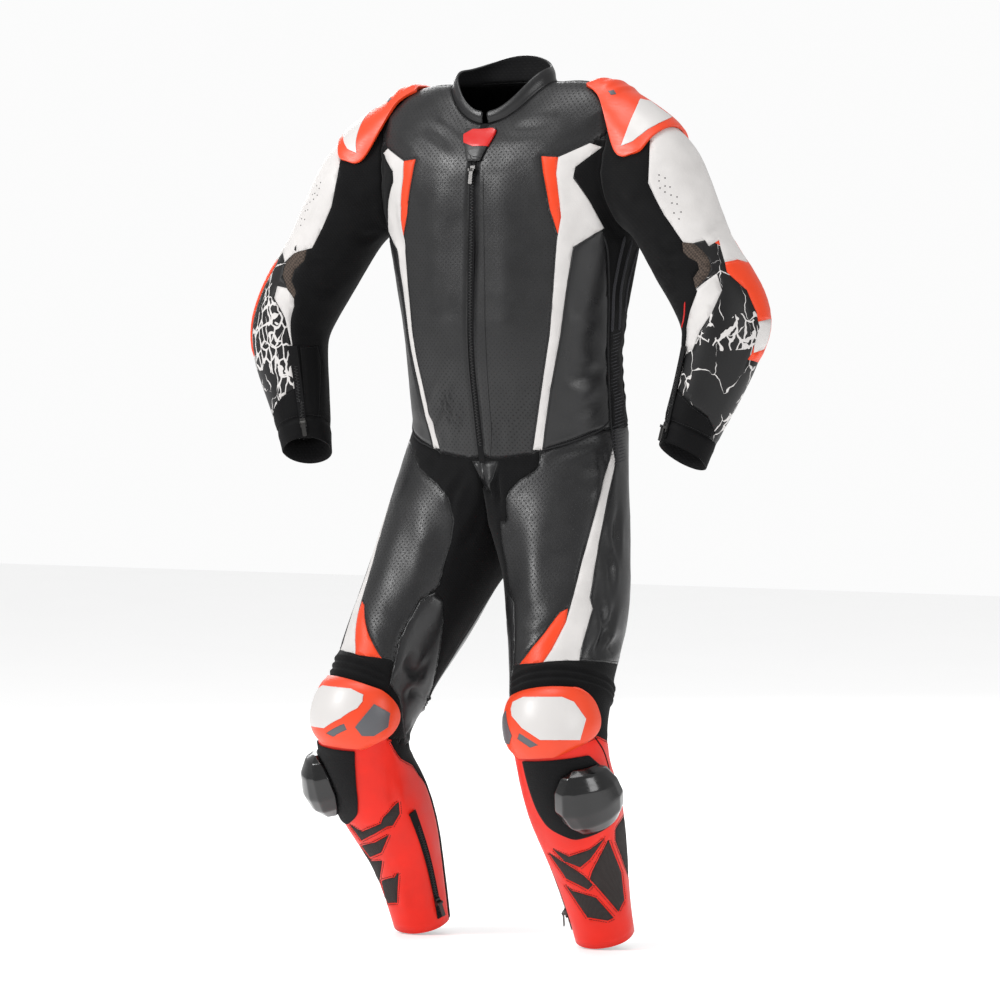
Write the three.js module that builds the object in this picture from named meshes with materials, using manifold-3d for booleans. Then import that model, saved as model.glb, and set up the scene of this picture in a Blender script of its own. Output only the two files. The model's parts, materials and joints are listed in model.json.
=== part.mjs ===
// One-piece leather motorcycle race suit, filled out with no wearer.
// Millimetres, +Z up, the front faces -Y and the wearer's left is +X.
// The origin lies in the neck opening, where the shoulders of the wearer carry the suit.
import * as THREE from "three";
import { mergeVertices } from "three/addons/utils/BufferGeometryUtils.js";
import Module from "manifold-3d";

// Driving dimensions
const seamGap = 0.3;
const leather = 2.4; // with its lining
const stretch = 2.2;
const collarWall = 4;
const overlayRise = 1.2; // a sewn-on piece lies this far above the panel under it
const zipHalfWidth = 5.5;
const ribRise = 2.2;
const tapeWall = 1.4;
const puck = { height: 31, rim: 5 };
const kneeCup = { base: 1.9, height: 13, rim: 3 };
const shoulderCup = { height: 9, rim: 2.5, ridge: 2, ridgeTurns: 1.5, lift: 3 };
const garage = { base: 1.1, rim: 3, height: 2.5 };
const elbowCup = { height: 9, top: 3.9, span: 1.3, front: 0.1, share: 0.6 };
const hookPatch = { base: 1.5, wall: 1.8 };
const pullTab = { width: 6.4, length: 22, wall: 1.6, eye: 1.3, boss: 2.6, play: 0.4, neck: 0.6 };
const slider = { width: 10, length: 14, height: 3.6, taper: 0.8, pin: 0.85 };
const sliderEar = { wall: 1.5, half: 2, cap: 1.6 };
const underArmTuck = 0.3; // the sleeve's stretch panel lies this much deeper, clear of the side's

// Torso rings from the neck seam to the hip seam: a ring is angle 0 at the front, 90 at the
// side and 180 at the back, with its own height at each of the three.
const torsoRings = [
  { zFront: -26, zSide: 40, zBack: 44, y: -30, side: 88, front: 57, back: 58, power: 2.0 },
  { zFront: -52, zSide: 36, zBack: 34, y: -20, side: 148, front: 86, back: 86, power: 2.1 },
  { zFront: -92, zSide: 8, zBack: -5, y: -10, side: 208, front: 110, back: 112, power: 2.2 },
  { zFront: -140, zSide: -85, zBack: -90, y: -4, side: 228, front: 121, back: 122, power: 2.3 },
  { zFront: -190, zSide: -190, zBack: -190, y: 0, side: 212, front: 126, back: 120, power: 2.3 },
  { zFront: -265, zSide: -265, zBack: -265, y: 0, side: 198, front: 129, back: 112, power: 2.25 },
  { zFront: -365, zSide: -360, zBack: -350, y: 0, side: 180, front: 129, back: 108, power: 2.2 },
  { zFront: -455, zSide: -430, zBack: -420, y: 4, side: 178, front: 118, back: 118, power: 2.15 },
  { zFront: -545, zSide: -490, zBack: -485, y: 8, side: 181, front: 104, back: 132, power: 2.1 },
];
const collarTop = { zFront: -9, zSide: 57, zBack: 84, y: -31, side: 75, front: 53, back: 55, power: 2.0 };
// Sections square to the sleeve of the wearer's left arm, from the sleeve head to the cuff.
// Turn lifts the outer edge of a section, and tilt its front edge, in degrees.
const sleeveSections = [
  { x: 262, y: -20, z: -118, side: 84, front: 72, back: 74, turn: 22, tilt: 0 },
  { x: 301, y: -28, z: -172, side: 71, front: 67, back: 69, turn: 0, tilt: 0 },
  { x: 333, y: -32, z: -228, side: 66, front: 64, back: 66, turn: 0, tilt: 0 },
  { x: 374, y: -36, z: -290, side: 66, front: 64, back: 66, turn: 0, tilt: 0 },
  { x: 393, y: -44, z: -355, side: 63, front: 61, back: 62, turn: 0, tilt: 0 },
  { x: 373, y: -54, z: -425, side: 53, front: 51, back: 52, turn: 0, tilt: 0 },
  { x: 353, y: -65, z: -485, side: 44, front: 43, back: 44, turn: 0, tilt: 8 },
  { x: 340, y: -73, z: -530, side: 40, front: 39, back: 40, turn: 0, tilt: 20 },
];
// Sections square to the left leg, from the upper thigh over the bent knee to the hem
const legSections = [
  { x: 127, y: -55, z: -735, side: 97, front: 92, back: 98, turn: 0, tilt: 0 },
  { x: 151, y: -104, z: -832, side: 84, front: 82, back: 85, turn: 0, tilt: 0 },
  { x: 167, y: -140, z: -905, side: 76, front: 75, back: 75, turn: 0, tilt: 0 },
  { x: 177, y: -156, z: -960, side: 71, front: 72, back: 70, turn: 0, tilt: 0 },
  { x: 179, y: -143, z: -1015, side: 69, front: 70, back: 73, turn: 0, tilt: 0 },
  { x: 175, y: -111, z: -1072, side: 69, front: 65, back: 84, turn: 0, tilt: 0 },
  { x: 170, y: -72, z: -1134, side: 61, front: 55, back: 76, turn: 0, tilt: 0 },
  { x: 167, y: -40, z: -1196, side: 52, front: 46, back: 60, turn: 0, tilt: 0 },
  { x: 167, y: -10, z: -1270, side: 46, front: 41, back: 47, turn: 0, tilt: 0 },
];
// The armhole, in torso rings and in degrees each way from the side
const armhole = { top: 2, bottom: 3.94, halfAngle: 33 };
const armholeMiddle = 3;
// The crotch seam's drop below the hip seam, and the degrees of the leg that the hip seam takes
const crotch = { depth: 175, hipSpan: 260 };

// Seams: v counts rings or sections from the top, and each column is an angle in degrees
const torsoSeams = [
  { v: 0, wedge: 29, inlay: 36, outer: 44 },
  { v: 2.45, wedge: 29, inlay: 36, outer: 54 },
  { v: 2.75, wedge: 29, inlay: 35.5, outer: 44 },
  { v: 3.05, wedge: 30, inlay: 36, outer: 43 },
  { v: 3.4, wedge: 33, inlay: 37, outer: 50 },
  { v: 3.75, wedge: 36.5, inlay: 38.5, outer: 60 },
  { v: 3.94, wedge: 38, inlay: 39, outer: 60 },
  { v: 4.4, wedge: 38, inlay: 39, outer: 47 },
  { v: 5.6, wedge: 38, inlay: 39, outer: 46 },
  { v: 6.2, wedge: 37, inlay: 38, outer: 44 },
  { v: 6.8, wedge: 34, inlay: 35, outer: 40 },
  { v: 7.4, wedge: 30, inlay: 31, outer: 36.5 },
  { v: 8, wedge: 26, inlay: 27, outer: 32 },
];
const sideSeams = { front: 82, back: 104 };
const sleeveSeams = [
  { v: 0, front: 14.48, elbow: 53.13, back: 203.58 },
  { v: 1, front: 10, elbow: 52, back: 200 },
  { v: 2, front: 6, elbow: 50, back: 196 },
  { v: 3, front: -3, elbow: 46, back: 194 },
  { v: 3.6, front: -18, elbow: 46, back: 194 },
  { v: 4.4, front: -34, elbow: 52, back: 194 },
  { v: 5.3, front: -44, elbow: 60, back: 194 },
  { v: 7.3, front: -38, elbow: 60, back: 194 },
  { v: 8, front: -38, elbow: 60, back: 194 },
];
const legSeams = [
  { v: 0, yoke: 6.2, wedge: 78.4, stripe: 78.4, outer: 78.4, inner: 253.3 },
  { v: 0.15, yoke: -2, wedge: 76, stripe: 76, outer: 81, inner: 251 },
  { v: 0.3, yoke: -20, wedge: 70, stripe: 70, outer: 78, inner: 250 },
  { v: 0.5, yoke: -33, wedge: 58, stripe: 58, outer: 69, inner: 249 },
  { v: 0.8, yoke: -41, wedge: 47, stripe: 47, outer: 59, inner: 248 },
  { v: 1.2, yoke: -46, wedge: 39, stripe: 39, outer: 52, inner: 246 },
  { v: 1.65, yoke: -46, wedge: 29, stripe: 29, outer: 50, inner: 246 },
  { v: 2.1, yoke: -46, wedge: -4, stripe: 18, outer: 50, inner: 246 },
  { v: 2.55, yoke: -46, wedge: -30, stripe: 4, outer: 47, inner: 246 },
  { v: 2.95, yoke: -50, inner: 246 },
  { v: 3.6, yoke: -58, inner: 244 },
  { v: 4.1, yoke: -66, inner: 240 },
];
const shinSeams = [
  { v: 4.1, front: -66, back: 165 },
  { v: 4.7, front: -84, back: 148 },
  { v: 5.4, front: -112, back: 136 },
  { v: 6.1, front: -127, back: 130 },
  { v: 6.9, front: -120, back: 130 },
  { v: 7.6, front: -114, back: 130 },
  { v: 8.3, front: -112, back: 130 },
  { v: 9, front: -110, back: 130 },
];
// Outlines of the hard or padded pieces that lie on the leg and over the shoulder
const kneeCupEdges = [
  { v: 3, left: -42, right: 50 },
  { v: 3.12, left: -60, right: 66 },
  { v: 3.35, left: -72, right: 78 },
  { v: 3.65, left: -73, right: 84 },
  { v: 3.95, left: -64, right: 74 },
  { v: 4.1, left: -50, right: 52 },
  { v: 4.25, left: -32, right: 24 },
];
const hookPatchEdges = [
  { v: 4.3, left: -23, right: 66 },
  { v: 4.75, left: -20, right: 92 },
  { v: 5.3, left: -14, right: 100 },
  { v: 5.7, left: -4, right: 98 },
  { v: 6.02, left: 24, right: 82 },
];
const puckEdges = [
  { v: 4.5, left: 42, right: 72 },
  { v: 4.6, left: 28, right: 86 },
  { v: 4.85, left: 18, right: 96 },
  { v: 5.2, left: 14, right: 100 },
  { v: 5.5, left: 20, right: 96 },
  { v: 5.75, left: 32, right: 86 },
  { v: 5.87, left: 46, right: 74 },
];
const garageEdges = [
  { v: 0.5, half: 27 },
  { v: 0.8, half: 29 },
  { v: 1.15, half: 24 },
  { v: 1.5, half: 17 },
  { v: 1.85, half: 12 },
];
const shoulderCupArcs = [
  { on: "torso", v: 1.15, front: 76, back: 108 },
  { on: "torso", v: 1.6, front: 70, back: 112 },
  { on: "torso", v: 1.96, front: 66, back: 114 },
  { on: "sleeve", v: 0.42, front: 16, back: 152 },
  { on: "sleeve", v: 0.86, front: 24, back: 146 },
];
const thighWedgeTop = 1.65;
const thighHem = 2.55; // where the thigh panels end and the knee's stretch begins
const kneeRibHem = 2.95;
const kneeHem = 4.1; // where the shin panel begins
const elbowTop = 3;
const elbowPatchHem = 3.6;
const elbowHem = 5.3;
const cuffTop = 7.3;
const inlayTop = 2.45;
const wedgeTip = 3.94;
const lumbar = { top: 5.6, bottom: 7.4, ribPitch: 0.3 };
// Ribs of the side panel: a few upright ones, then slanted ones down to the hip
const sideRibs = { upright: 2, start: 1, slanted: 5, slant: 1.4, share: 0.6 };
const kneeRibs = { count: 3, rise: 3.5 };
// Zips: half widths and angles in degrees, and the place of each slider
const mainZip = { depth: 2, sliderV: 2.15, sliderRise: -1.2, coil: 0.8 };
const calfZip = { angle: -73, half: 6, top: 6.1, bottom: 8.8, sliderV: 8.45 };
const wristZip = { fromSeam: 8, half: 7, top: 5.3, bottom: 7.85, sliderV: 7.45 };
const sideTapeBase = 0.6;
const tapeSliderRise = 1.2;

const rad = THREE.MathUtils.degToRad;
const blend = (a, b, t) => a + (b - a) * t;
const spread = (from, to, count) => Array.from({ length: count + 1 }, (_, i) => blend(from, to, i / count));

// A smooth value through numbers that stand one step apart
function smooth(values, at) {
  const last = values.length - 1;
  const i = Math.min(Math.floor(Math.max(at, 0)), last - 1);
  const t = at - i;
  const p1 = values[i];
  const p2 = values[i + 1];
  const p0 = i > 0 ? values[i - 1] : 2 * p1 - p2;
  const p3 = i + 2 <= last ? values[i + 2] : 2 * p2 - p1;
  const turn = (2 * p0 - 5 * p1 + 4 * p2 - p3) * t * t;
  const twist = (3 * p1 - p0 - 3 * p2 + p3) * t * t * t;
  return 0.5 * (2 * p1 + (p2 - p0) * t + turn + twist);
}

// A seam's angle at v, straight between the rows of its table
function seam(table, column) {
  return (v) => {
    const next = table.findIndex((row) => row.v >= v - 1e-6);
    if (next <= 0) return table[0][column];
    const a = table[next - 1];
    const b = table[next];
    return blend(a[column], b[column], (v - a.v) / (b.v - a.v));
  };
}

function ringPoint(ring, angle) {
  const s = Math.sin(rad(angle));
  const c = Math.cos(rad(angle));
  const reach = (value) => Math.sign(value) * Math.abs(value) ** (2 / ring.power);
  const level = c > 0 ? ring.zFront : ring.zBack;
  const depth = c > 0 ? ring.front : ring.back;
  return new THREE.Vector3(ring.side * reach(s), ring.y - depth * reach(c), blend(ring.zSide, level, c * c));
}

// A smooth surface through rings, each a function from an angle to a point
function throughRings(rings) {
  return (v, angle) => {
    const points = rings.map((ring) => ring(angle));
    return new THREE.Vector3(...["x", "y", "z"].map((axis) => smooth(points.map((p) => p[axis]), v)));
  };
}

function outward(surface, v, angle) {
  const down = surface(v + 0.02, angle).sub(surface(Math.max(v - 0.02, 0), angle));
  const round = surface(v, angle + 1).sub(surface(v, angle - 1));
  return down.cross(round).normalize();
}

function limbRings(sections) {
  const centres = sections.map((s) => new THREE.Vector3(s.x, s.y, s.z));
  return sections.map((section, i) => {
    const before = centres[Math.max(i - 1, 0)];
    const after = centres[Math.min(i + 1, centres.length - 1)];
    const along = after.clone().sub(before).normalize();
    const side = new THREE.Vector3(1, 0, 0);
    side.addScaledVector(along, -side.dot(along)).normalize();
    const front = new THREE.Vector3().crossVectors(side, along).normalize();
    if (front.y > 0) front.negate();
    side.applyAxisAngle(new THREE.Vector3(0, -1, 0), rad(section.turn));
    const lean = front.clone().multiplyScalar(Math.cos(rad(section.tilt)));
    lean.addScaledVector(along, -Math.sin(rad(section.tilt)));
    return (angle) => {
      const s = Math.sin(rad(angle));
      const c = Math.cos(rad(angle));
      const depth = c > 0 ? section.front : section.back;
      return centres[i].clone().addScaledVector(side, section.side * s).addScaledVector(lean, depth * c);
    };
  });
}

const torso = throughRings(torsoRings.map((ring) => (angle) => ringPoint(ring, angle)));
const collar = throughRings([torsoRings[0], collarTop].map((ring) => (angle) => ringPoint(ring, angle)));

function armholeRing(angle) {
  const v = Math.min(armholeMiddle - Math.sin(rad(angle)), armhole.bottom);
  return torso(v, 90 - armhole.halfAngle * Math.cos(rad(angle)));
}
const sleeve = throughRings([armholeRing, ...limbRings(sleeveSections)]);

// The top of a leg: half of the hip seam, and then the crotch seam back to the front
const hipRing = torsoRings.at(-1);
function legTop(angle) {
  const turned = THREE.MathUtils.euclideanModulo(angle + (crotch.hipSpan - 180) / 2, 360);
  if (turned <= crotch.hipSpan) return ringPoint(hipRing, (turned * 180) / crotch.hipSpan);
  const t = (turned - crotch.hipSpan) / (360 - crotch.hipSpan);
  const back = ringPoint(hipRing, 180);
  const front = ringPoint(hipRing, 0);
  const y = blend(back.y, front.y, (1 - Math.cos(Math.PI * t)) / 2);
  return new THREE.Vector3(0, y, blend(back.z, front.z, t) - crotch.depth * Math.sin(Math.PI * t) ** 0.9);
}
const leg = throughRings([legTop, ...limbRings(legSections)]);

// Normals: at the hip seam the walls of torso and leg share one, and at the crotch seam the
// two legs do, so that they meet edge to edge
const hipSeamV = torsoRings.length - 1;
const toHip = (angle) => ((angle + (crotch.hipSpan - 180) / 2) * 180) / crotch.hipSpan;
const fromHip = (angle) => (angle * crotch.hipSpan) / 180 - (crotch.hipSpan - 180) / 2;
const hipNormal = (angle) => outward(torso, hipSeamV, angle).add(outward(leg, 0, fromHip(angle))).normalize();
function normalOf(surface, v, angle) {
  if (surface === torso && v > hipSeamV - 1e-6) {
    const made = hipNormal(Math.abs(angle));
    if (angle < 0) made.x *= -1;
    return made;
  }
  if (surface !== leg || v > 1e-6) return outward(surface, v, angle);
  const hip = toHip(THREE.MathUtils.euclideanModulo(angle + 90, 360) - 90);
  const made = hip > -1e-6 && hip < 180 + 1e-6 ? hipNormal(hip) : outward(leg, 0, angle);
  if (hip < 1e-6 || hip > 180 - 1e-6) made.x = 0;
  return made.normalize();
}

// A strip of cloth between the angle functions left and right, as outer and inner points
function strip({ surface, rows, left, right, columns, subRows = 1, mirror = 1 }) {
  const grid = rows.map((v) => {
    const share = Array.isArray(columns) ? columns : spread(0, 1, columns);
    return share.map((u) => {
      const angle = blend(left(v), right(v), u);
      const point = surface(v, angle);
      const normal = normalOf(surface, v, angle);
      point.x *= mirror;
      normal.x *= mirror;
      return { point, normal, u, v };
    });
  });
  const fine = [];
  grid.forEach((row, i) => {
    fine.push(row);
    if (i === grid.length - 1) return;
    for (let k = 1; k < subRows; k++) {
      fine.push(row.map((a, j) => {
        const b = grid[i + 1][j];
        const t = k / subRows;
        return {
          point: a.point.clone().lerp(b.point, t),
          normal: a.normal.clone().lerp(b.normal, t).normalize(),
          u: a.u,
          v: blend(a.v, b.v, t),
        };
      }));
    }
  });
  const quads = [];
  for (let i = 0; i + 1 < fine.length; i++)
    for (let j = 0; j + 1 < fine[0].length; j++) {
      const quad = [fine[i][j], fine[i + 1][j], fine[i + 1][j + 1], fine[i][j + 1]];
      quads.push(mirror > 0 ? quad : [quad[0], quad[3], quad[2], quad[1]]);
    }
  return quads;
}

// A closed wall over quads that share edges. Its seam edges are drawn in by half a gap, its
// inner face lies at the height base and its outer face at base + rise, along the normals.
function wall(quads, base, rise) {
  const corners = new Map();
  const key = (p) => p.toArray().map((n) => Math.round(n * 100)).join();
  const faces = quads.map((quad) => quad.map((corner) => {
    const name = key(corner.point);
    const made = { ...corner, index: corners.size, inward: new THREE.Vector3() };
    if (!corners.has(name)) corners.set(name, made);
    return corners.get(name);
  }).filter((corner, i, all) => all.indexOf(corner) === i));
  const edges = new Map();
  for (const face of faces)
    face.forEach((a, i) => {
      const b = face[(i + 1) % face.length];
      edges.set(`${a.index}-${b.index}`, { a, b });
    });
  const rim = [...edges.values()].filter(({ a, b }) => !edges.has(`${b.index}-${a.index}`));
  for (const { a, b } of rim) {
    const along = b.point.clone().sub(a.point).normalize();
    for (const corner of [a, b]) corner.inward.add(corner.normal.clone().cross(along).normalize());
  }
  const all = [...corners.values()];
  const outer = [];
  const inner = [];
  for (const corner of all) {
    const size = corner.inward.length();
    const bend = size > 0 ? Math.min(2 / (size * size), 2) : 0;
    const edge = corner.point.clone().addScaledVector(corner.inward, (seamGap / 2) * bend);
    const height = typeof rise === "function" ? rise(corner) : rise;
    inner.push(edge.clone().addScaledVector(corner.normal, base));
    outer.push(edge.clone().addScaledVector(corner.normal, base + height));
  }
  const count = all.length;
  const triangles = [];
  for (const face of faces)
    for (let k = 1; k + 1 < face.length; k++) {
      const [a, b, c] = [face[0].index, face[k].index, face[k + 1].index];
      triangles.push(a, b, c, count + a, count + c, count + b);
    }
  // Both pieces at a seam split its edge strip along the same diagonal
  for (const { a, b } of rim) {
    const [oa, ob, ia, ib] = [a.index, b.index, count + a.index, count + b.index];
    if (a.point.z > b.point.z) triangles.push(oa, ia, ob, ob, ia, ib);
    else triangles.push(oa, ia, ib, oa, ib, ob);
  }
  const geometry = new THREE.BufferGeometry();
  const flat = [...outer, ...inner].flatMap((p) => p.toArray());
  geometry.setAttribute("position", new THREE.Float32BufferAttribute(flat, 3));
  geometry.setIndex(triangles);
  return geometry;
}

const wasm = await Module();
wasm.setup();
function solidOf(geometry) {
  const vertProperties = new Float32Array(geometry.attributes.position.array);
  const triVerts = new Uint32Array(geometry.index.array);
  return new wasm.Manifold(new wasm.Mesh({ numProp: 3, vertProperties, triVerts }));
}
function geometryOf(solid) {
  const made = solid.getMesh();
  const geometry = new THREE.BufferGeometry();
  geometry.setAttribute("position", new THREE.Float32BufferAttribute(made.vertProperties, 3));
  geometry.setIndex([...made.triVerts]);
  return geometry;
}

// Finishes: colour, roughness and metalness
const finishes = {
  black: new THREE.MeshStandardMaterial({ color: 0x3a3a3b, roughness: 0.55 }),
  stretch: new THREE.MeshStandardMaterial({ color: 0x191818, roughness: 0.9 }),
  white: new THREE.MeshStandardMaterial({ color: 0xf0eeec, roughness: 0.5 }),
  orange: new THREE.MeshStandardMaterial({ color: 0xfc5830, roughness: 0.5 }),
  red: new THREE.MeshStandardMaterial({ color: 0xfa3c24, roughness: 0.5 }),
  hard: new THREE.MeshStandardMaterial({ color: 0x161617, roughness: 0.2 }),
  metal: new THREE.MeshStandardMaterial({ color: 0x50504f, roughness: 0.35, metalness: 0.9 }),
  grey: new THREE.MeshStandardMaterial({ color: 0x3c3836, roughness: 0.75 }),
};
const suit = new THREE.Group();
function add(name, geometry, finish) {
  const mesh = new THREE.Mesh(geometry, finishes[finish].clone());
  mesh.name = name;
  suit.add(mesh);
}
const sides = [{ tag: "left", mirror: 1 }, { tag: "right", mirror: -1 }];
const fixed = (angle) => () => angle;

// Rows follow the armhole closely, and every panel beside another shares them
const torsoRows = [
  0, 0.5, 1, 1.5, 2, 2.06, 2.2, 2.45, 2.75, 3.05, 3.4, 3.75, 3.94, 4.4, 5, 5.6, 6.2, 6.8, 7.4, 8,
];
const sleeveRows = [0, 0.4, 0.8, 1.3, 1.9, 2.5, 3, 3.6, 4.2, 4.8, 5.3, 6.3, 7.3, 8];
const legRows = [
  0, 0.15, 0.3, 0.5, 0.8, 1.2, 1.65, 2.1, 2.55, 2.95, 3.6, 4.1, 4.7, 5.4, 6.1, 6.9, 7.6, 8.3, 9,
];
const rowsBetween = (rows, from, to) => rows.filter((v) => v >= from - 1e-6 && v <= to + 1e-6);
const ringValue = (v, name) => smooth(torsoRings.map((ring) => ring[name]), v);
const fractions = (angles) => angles.map((a) => (a - angles[0]) / (angles.at(-1) - angles[0]));

// The angle on the torso that lies a given distance sideways of the zip
function angleAt(v, sideways) {
  const share = sideways / ringValue(v, "side");
  return THREE.MathUtils.radToDeg(Math.asin(share ** (ringValue(v, "power") / 2)));
}
const zipEdge = (v) => angleAt(v, zipHalfWidth);

// Angles round the armhole at which the torso's rows meet it, and a few under the arm
const armholeFront = rowsBetween(torsoRows, armhole.top, armhole.bottom)
  .map((v) => THREE.MathUtils.radToDeg(Math.asin(armholeMiddle - v)));
const underArm = [-80, -90, -100];
function armholeEdge(sign) {
  return (v) => {
    const away = v - armholeMiddle;
    return 90 - sign * armhole.halfAngle * Math.sqrt(Math.max(1 - away * away, 0));
  };
}
// Beside the body: the shoulder seam, then the armhole, then the side seam
function bodyEdge(sign, seamAngle) {
  const last = armholeEdge(sign)(armhole.bottom);
  const settle = 4.4; // the side seam runs straight from here down
  return (v) => {
    if (v <= armhole.top) return 90;
    if (v <= armhole.bottom) return armholeEdge(sign)(v);
    return blend(last, seamAngle, Math.min((v - armhole.bottom) / (settle - armhole.bottom), 1));
  };
}
const frontEdge = bodyEdge(1, sideSeams.front);
const backEdge = bodyEdge(-1, sideSeams.back);
const wedge = seam(torsoSeams, "wedge");
const inlay = seam(torsoSeams, "inlay");
const inlayOuter = seam(torsoSeams, "outer");
const wave = (turns) => Math.abs(Math.sin(turns * Math.PI));
const dome = (down, across) => Math.sqrt(Math.max(Math.sin(down * Math.PI) * Math.sin(across * Math.PI), 0));

function buildTorso() {
  for (const { tag, mirror } of sides) {
    const piece = (from, to, left, right, columns, subRows) => {
      const rows = rowsBetween(torsoRows, from, to);
      return strip({ surface: torso, rows, left, right, columns, subRows, mirror });
    };
    const chest = [
      ...piece(0, inlayTop, zipEdge, wedge, 3),
      ...piece(0, inlayTop, wedge, inlay, 1),
      ...piece(0, inlayTop, inlay, inlayOuter, 1),
      ...piece(0, inlayTop, inlayOuter, frontEdge, 2),
      ...piece(inlayTop, 8, zipEdge, wedge, 3),
    ];
    add(`front_${tag}`, wall(chest, -leather, leather), "black");
    add(`chest_wedge_${tag}`, wall(piece(inlayTop, wedgeTip, wedge, inlay, 1), -leather, leather), "orange");
    const white = piece(inlayTop, 8, inlay, inlayOuter, 1);
    white.push(...piece(wedgeTip, 8, wedge, inlay, 1));
    add(`inlay_${tag}`, wall(white, -leather, leather), "white");
    const flank = piece(inlayTop, 8, inlayOuter, frontEdge, 4);
    add(`side_front_${tag}`, wall(flank, -leather, leather), "black");
    const lowest = armholeFront.at(-1);
    const underColumns = fractions([lowest, ...underArm, -180 - lowest].map((a) => -Math.cos(rad(a))));
    const ribs = piece(armhole.bottom, 8, frontEdge, backEdge, underColumns, 4);
    const growing = (v) => Math.min((v - armhole.bottom) / sideRibs.start, 1);
    const upright = ({ u, v }) => wave(u * sideRibs.upright) * growing(v);
    const slanted = ({ u, v }) => sideRibs.share * wave(v * sideRibs.slanted + u * sideRibs.slant);
    const ribAt = (corner) => (corner.v < lumbar.top ? upright(corner) : slanted(corner));
    const sideRib = (corner) => stretch + ribRise * ribAt(corner);
    add(`side_stretch_${tag}`, wall(ribs, -stretch, sideRib), "stretch");
  }
  const across = (from, to, subRows) => sides.flatMap(({ mirror }) => strip({
    surface: torso,
    rows: rowsBetween(torsoRows, from, to),
    left: backEdge,
    right: fixed(180),
    columns: 5,
    subRows,
    mirror,
  }));
  add("back_yoke", wall(across(0, armhole.bottom, 1), -leather, leather), "black");
  const small = [...across(armhole.bottom, lumbar.top, 1), ...across(lumbar.bottom, 8, 1)];
  small.push(...across(lumbar.top, lumbar.bottom, 4));
  const ribbed = (v) => v > lumbar.top && v < lumbar.bottom;
  const backRib = ({ v }) => stretch + (ribbed(v) ? ribRise * wave((v - lumbar.top) / lumbar.ribPitch) : 0);
  add("back_lower", wall(small, -stretch, backRib), "stretch");
}

// The collar's columns are those of the panels below it
function buildCollar() {
  const ends = [zipEdge, wedge, inlay, inlayOuter, fixed(90), fixed(180)].map((end) => end(0));
  const counts = [3, 1, 1, 2, 5];
  const angles = [...new Set(counts.flatMap((count, i) => spread(ends[i], ends[i + 1], count)))];
  const both = sides.flatMap(({ mirror }) => strip({
    surface: collar,
    rows: [0, 0.5, 1],
    left: fixed(angles[0]),
    right: fixed(180),
    columns: fractions(angles),
    mirror,
  }));
  add("collar", wall(both, -collarWall, collarWall), "black");
}

function buildSleeves() {
  const around = [...armholeFront, ...underArm, ...armholeFront.map((a) => 180 - a)];
  const tidy = (a) => Math.round(THREE.MathUtils.euclideanModulo(a, 360) * 100) / 100;
  const round = [...new Set(around.map(tidy))];
  const between = (from, to) => {
    const inside = [...round, ...round.map((a) => a + 360)].filter((a) => a > from + 0.1 && a < to - 0.1);
    return fractions([from, ...inside.sort((a, b) => a - b), to]);
  };
  const front = seam(sleeveSeams, "front");
  const elbow = seam(sleeveSeams, "elbow");
  const rear = seam(sleeveSeams, "back");
  const frontAgain = (v) => front(v) + 360;
  const atRoot = sleeveSeams[0];
  const frontColumns = between(atRoot.front, atRoot.elbow);
  const outerColumns = between(atRoot.elbow, atRoot.back);
  const innerColumns = between(atRoot.back, atRoot.front + 360);
  for (const { tag, mirror } of sides) {
    const piece = (from, to, left, right, columns) =>
      strip({ surface: sleeve, rows: rowsBetween(sleeveRows, from, to), left, right, columns, mirror });
    const upper = [
      ...piece(0, elbowTop, front, elbow, frontColumns),
      ...piece(0, elbowTop, elbow, rear, outerColumns),
    ];
    add(`sleeve_upper_${tag}`, wall(upper, -leather, leather), "white");
    const under = piece(0, cuffTop, rear, frontAgain, innerColumns);
    add(`sleeve_inner_${tag}`, wall(under, -stretch - underArmTuck, stretch), "stretch");
    const patch = piece(elbowTop, elbowPatchHem, front, elbow, frontColumns);
    add(`elbow_patch_${tag}`, wall(patch, -leather, leather), "grey");
    const cupRise = ({ u, v }) => {
      const down = (v - elbowCup.top) / elbowCup.span;
      const across = (u - elbowCup.front) / elbowCup.share;
      const inside = down > 0 && down < 1 && across > 0 && across < 1;
      return leather + (inside ? elbowCup.height * dome(down, across) : 0);
    };
    const outside = piece(elbowTop, elbowHem, elbow, rear, outerColumns);
    add(`elbow_${tag}`, wall(outside, -leather, cupRise), "orange");
    const fore = piece(elbowPatchHem, elbowHem, front, elbow, frontColumns);
    fore.push(...piece(elbowHem, cuffTop, front, elbow, frontColumns));
    fore.push(...piece(elbowHem, cuffTop, elbow, rear, outerColumns));
    add(`forearm_${tag}`, wall(fore, -leather, leather), "white");
    const cuff = [
      ...piece(cuffTop, 8, front, elbow, frontColumns),
      ...piece(cuffTop, 8, elbow, rear, outerColumns),
      ...piece(cuffTop, 8, rear, frontAgain, innerColumns),
    ];
    add(`cuff_${tag}`, wall(cuff, -leather, leather), "grey");
  }
}

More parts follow.
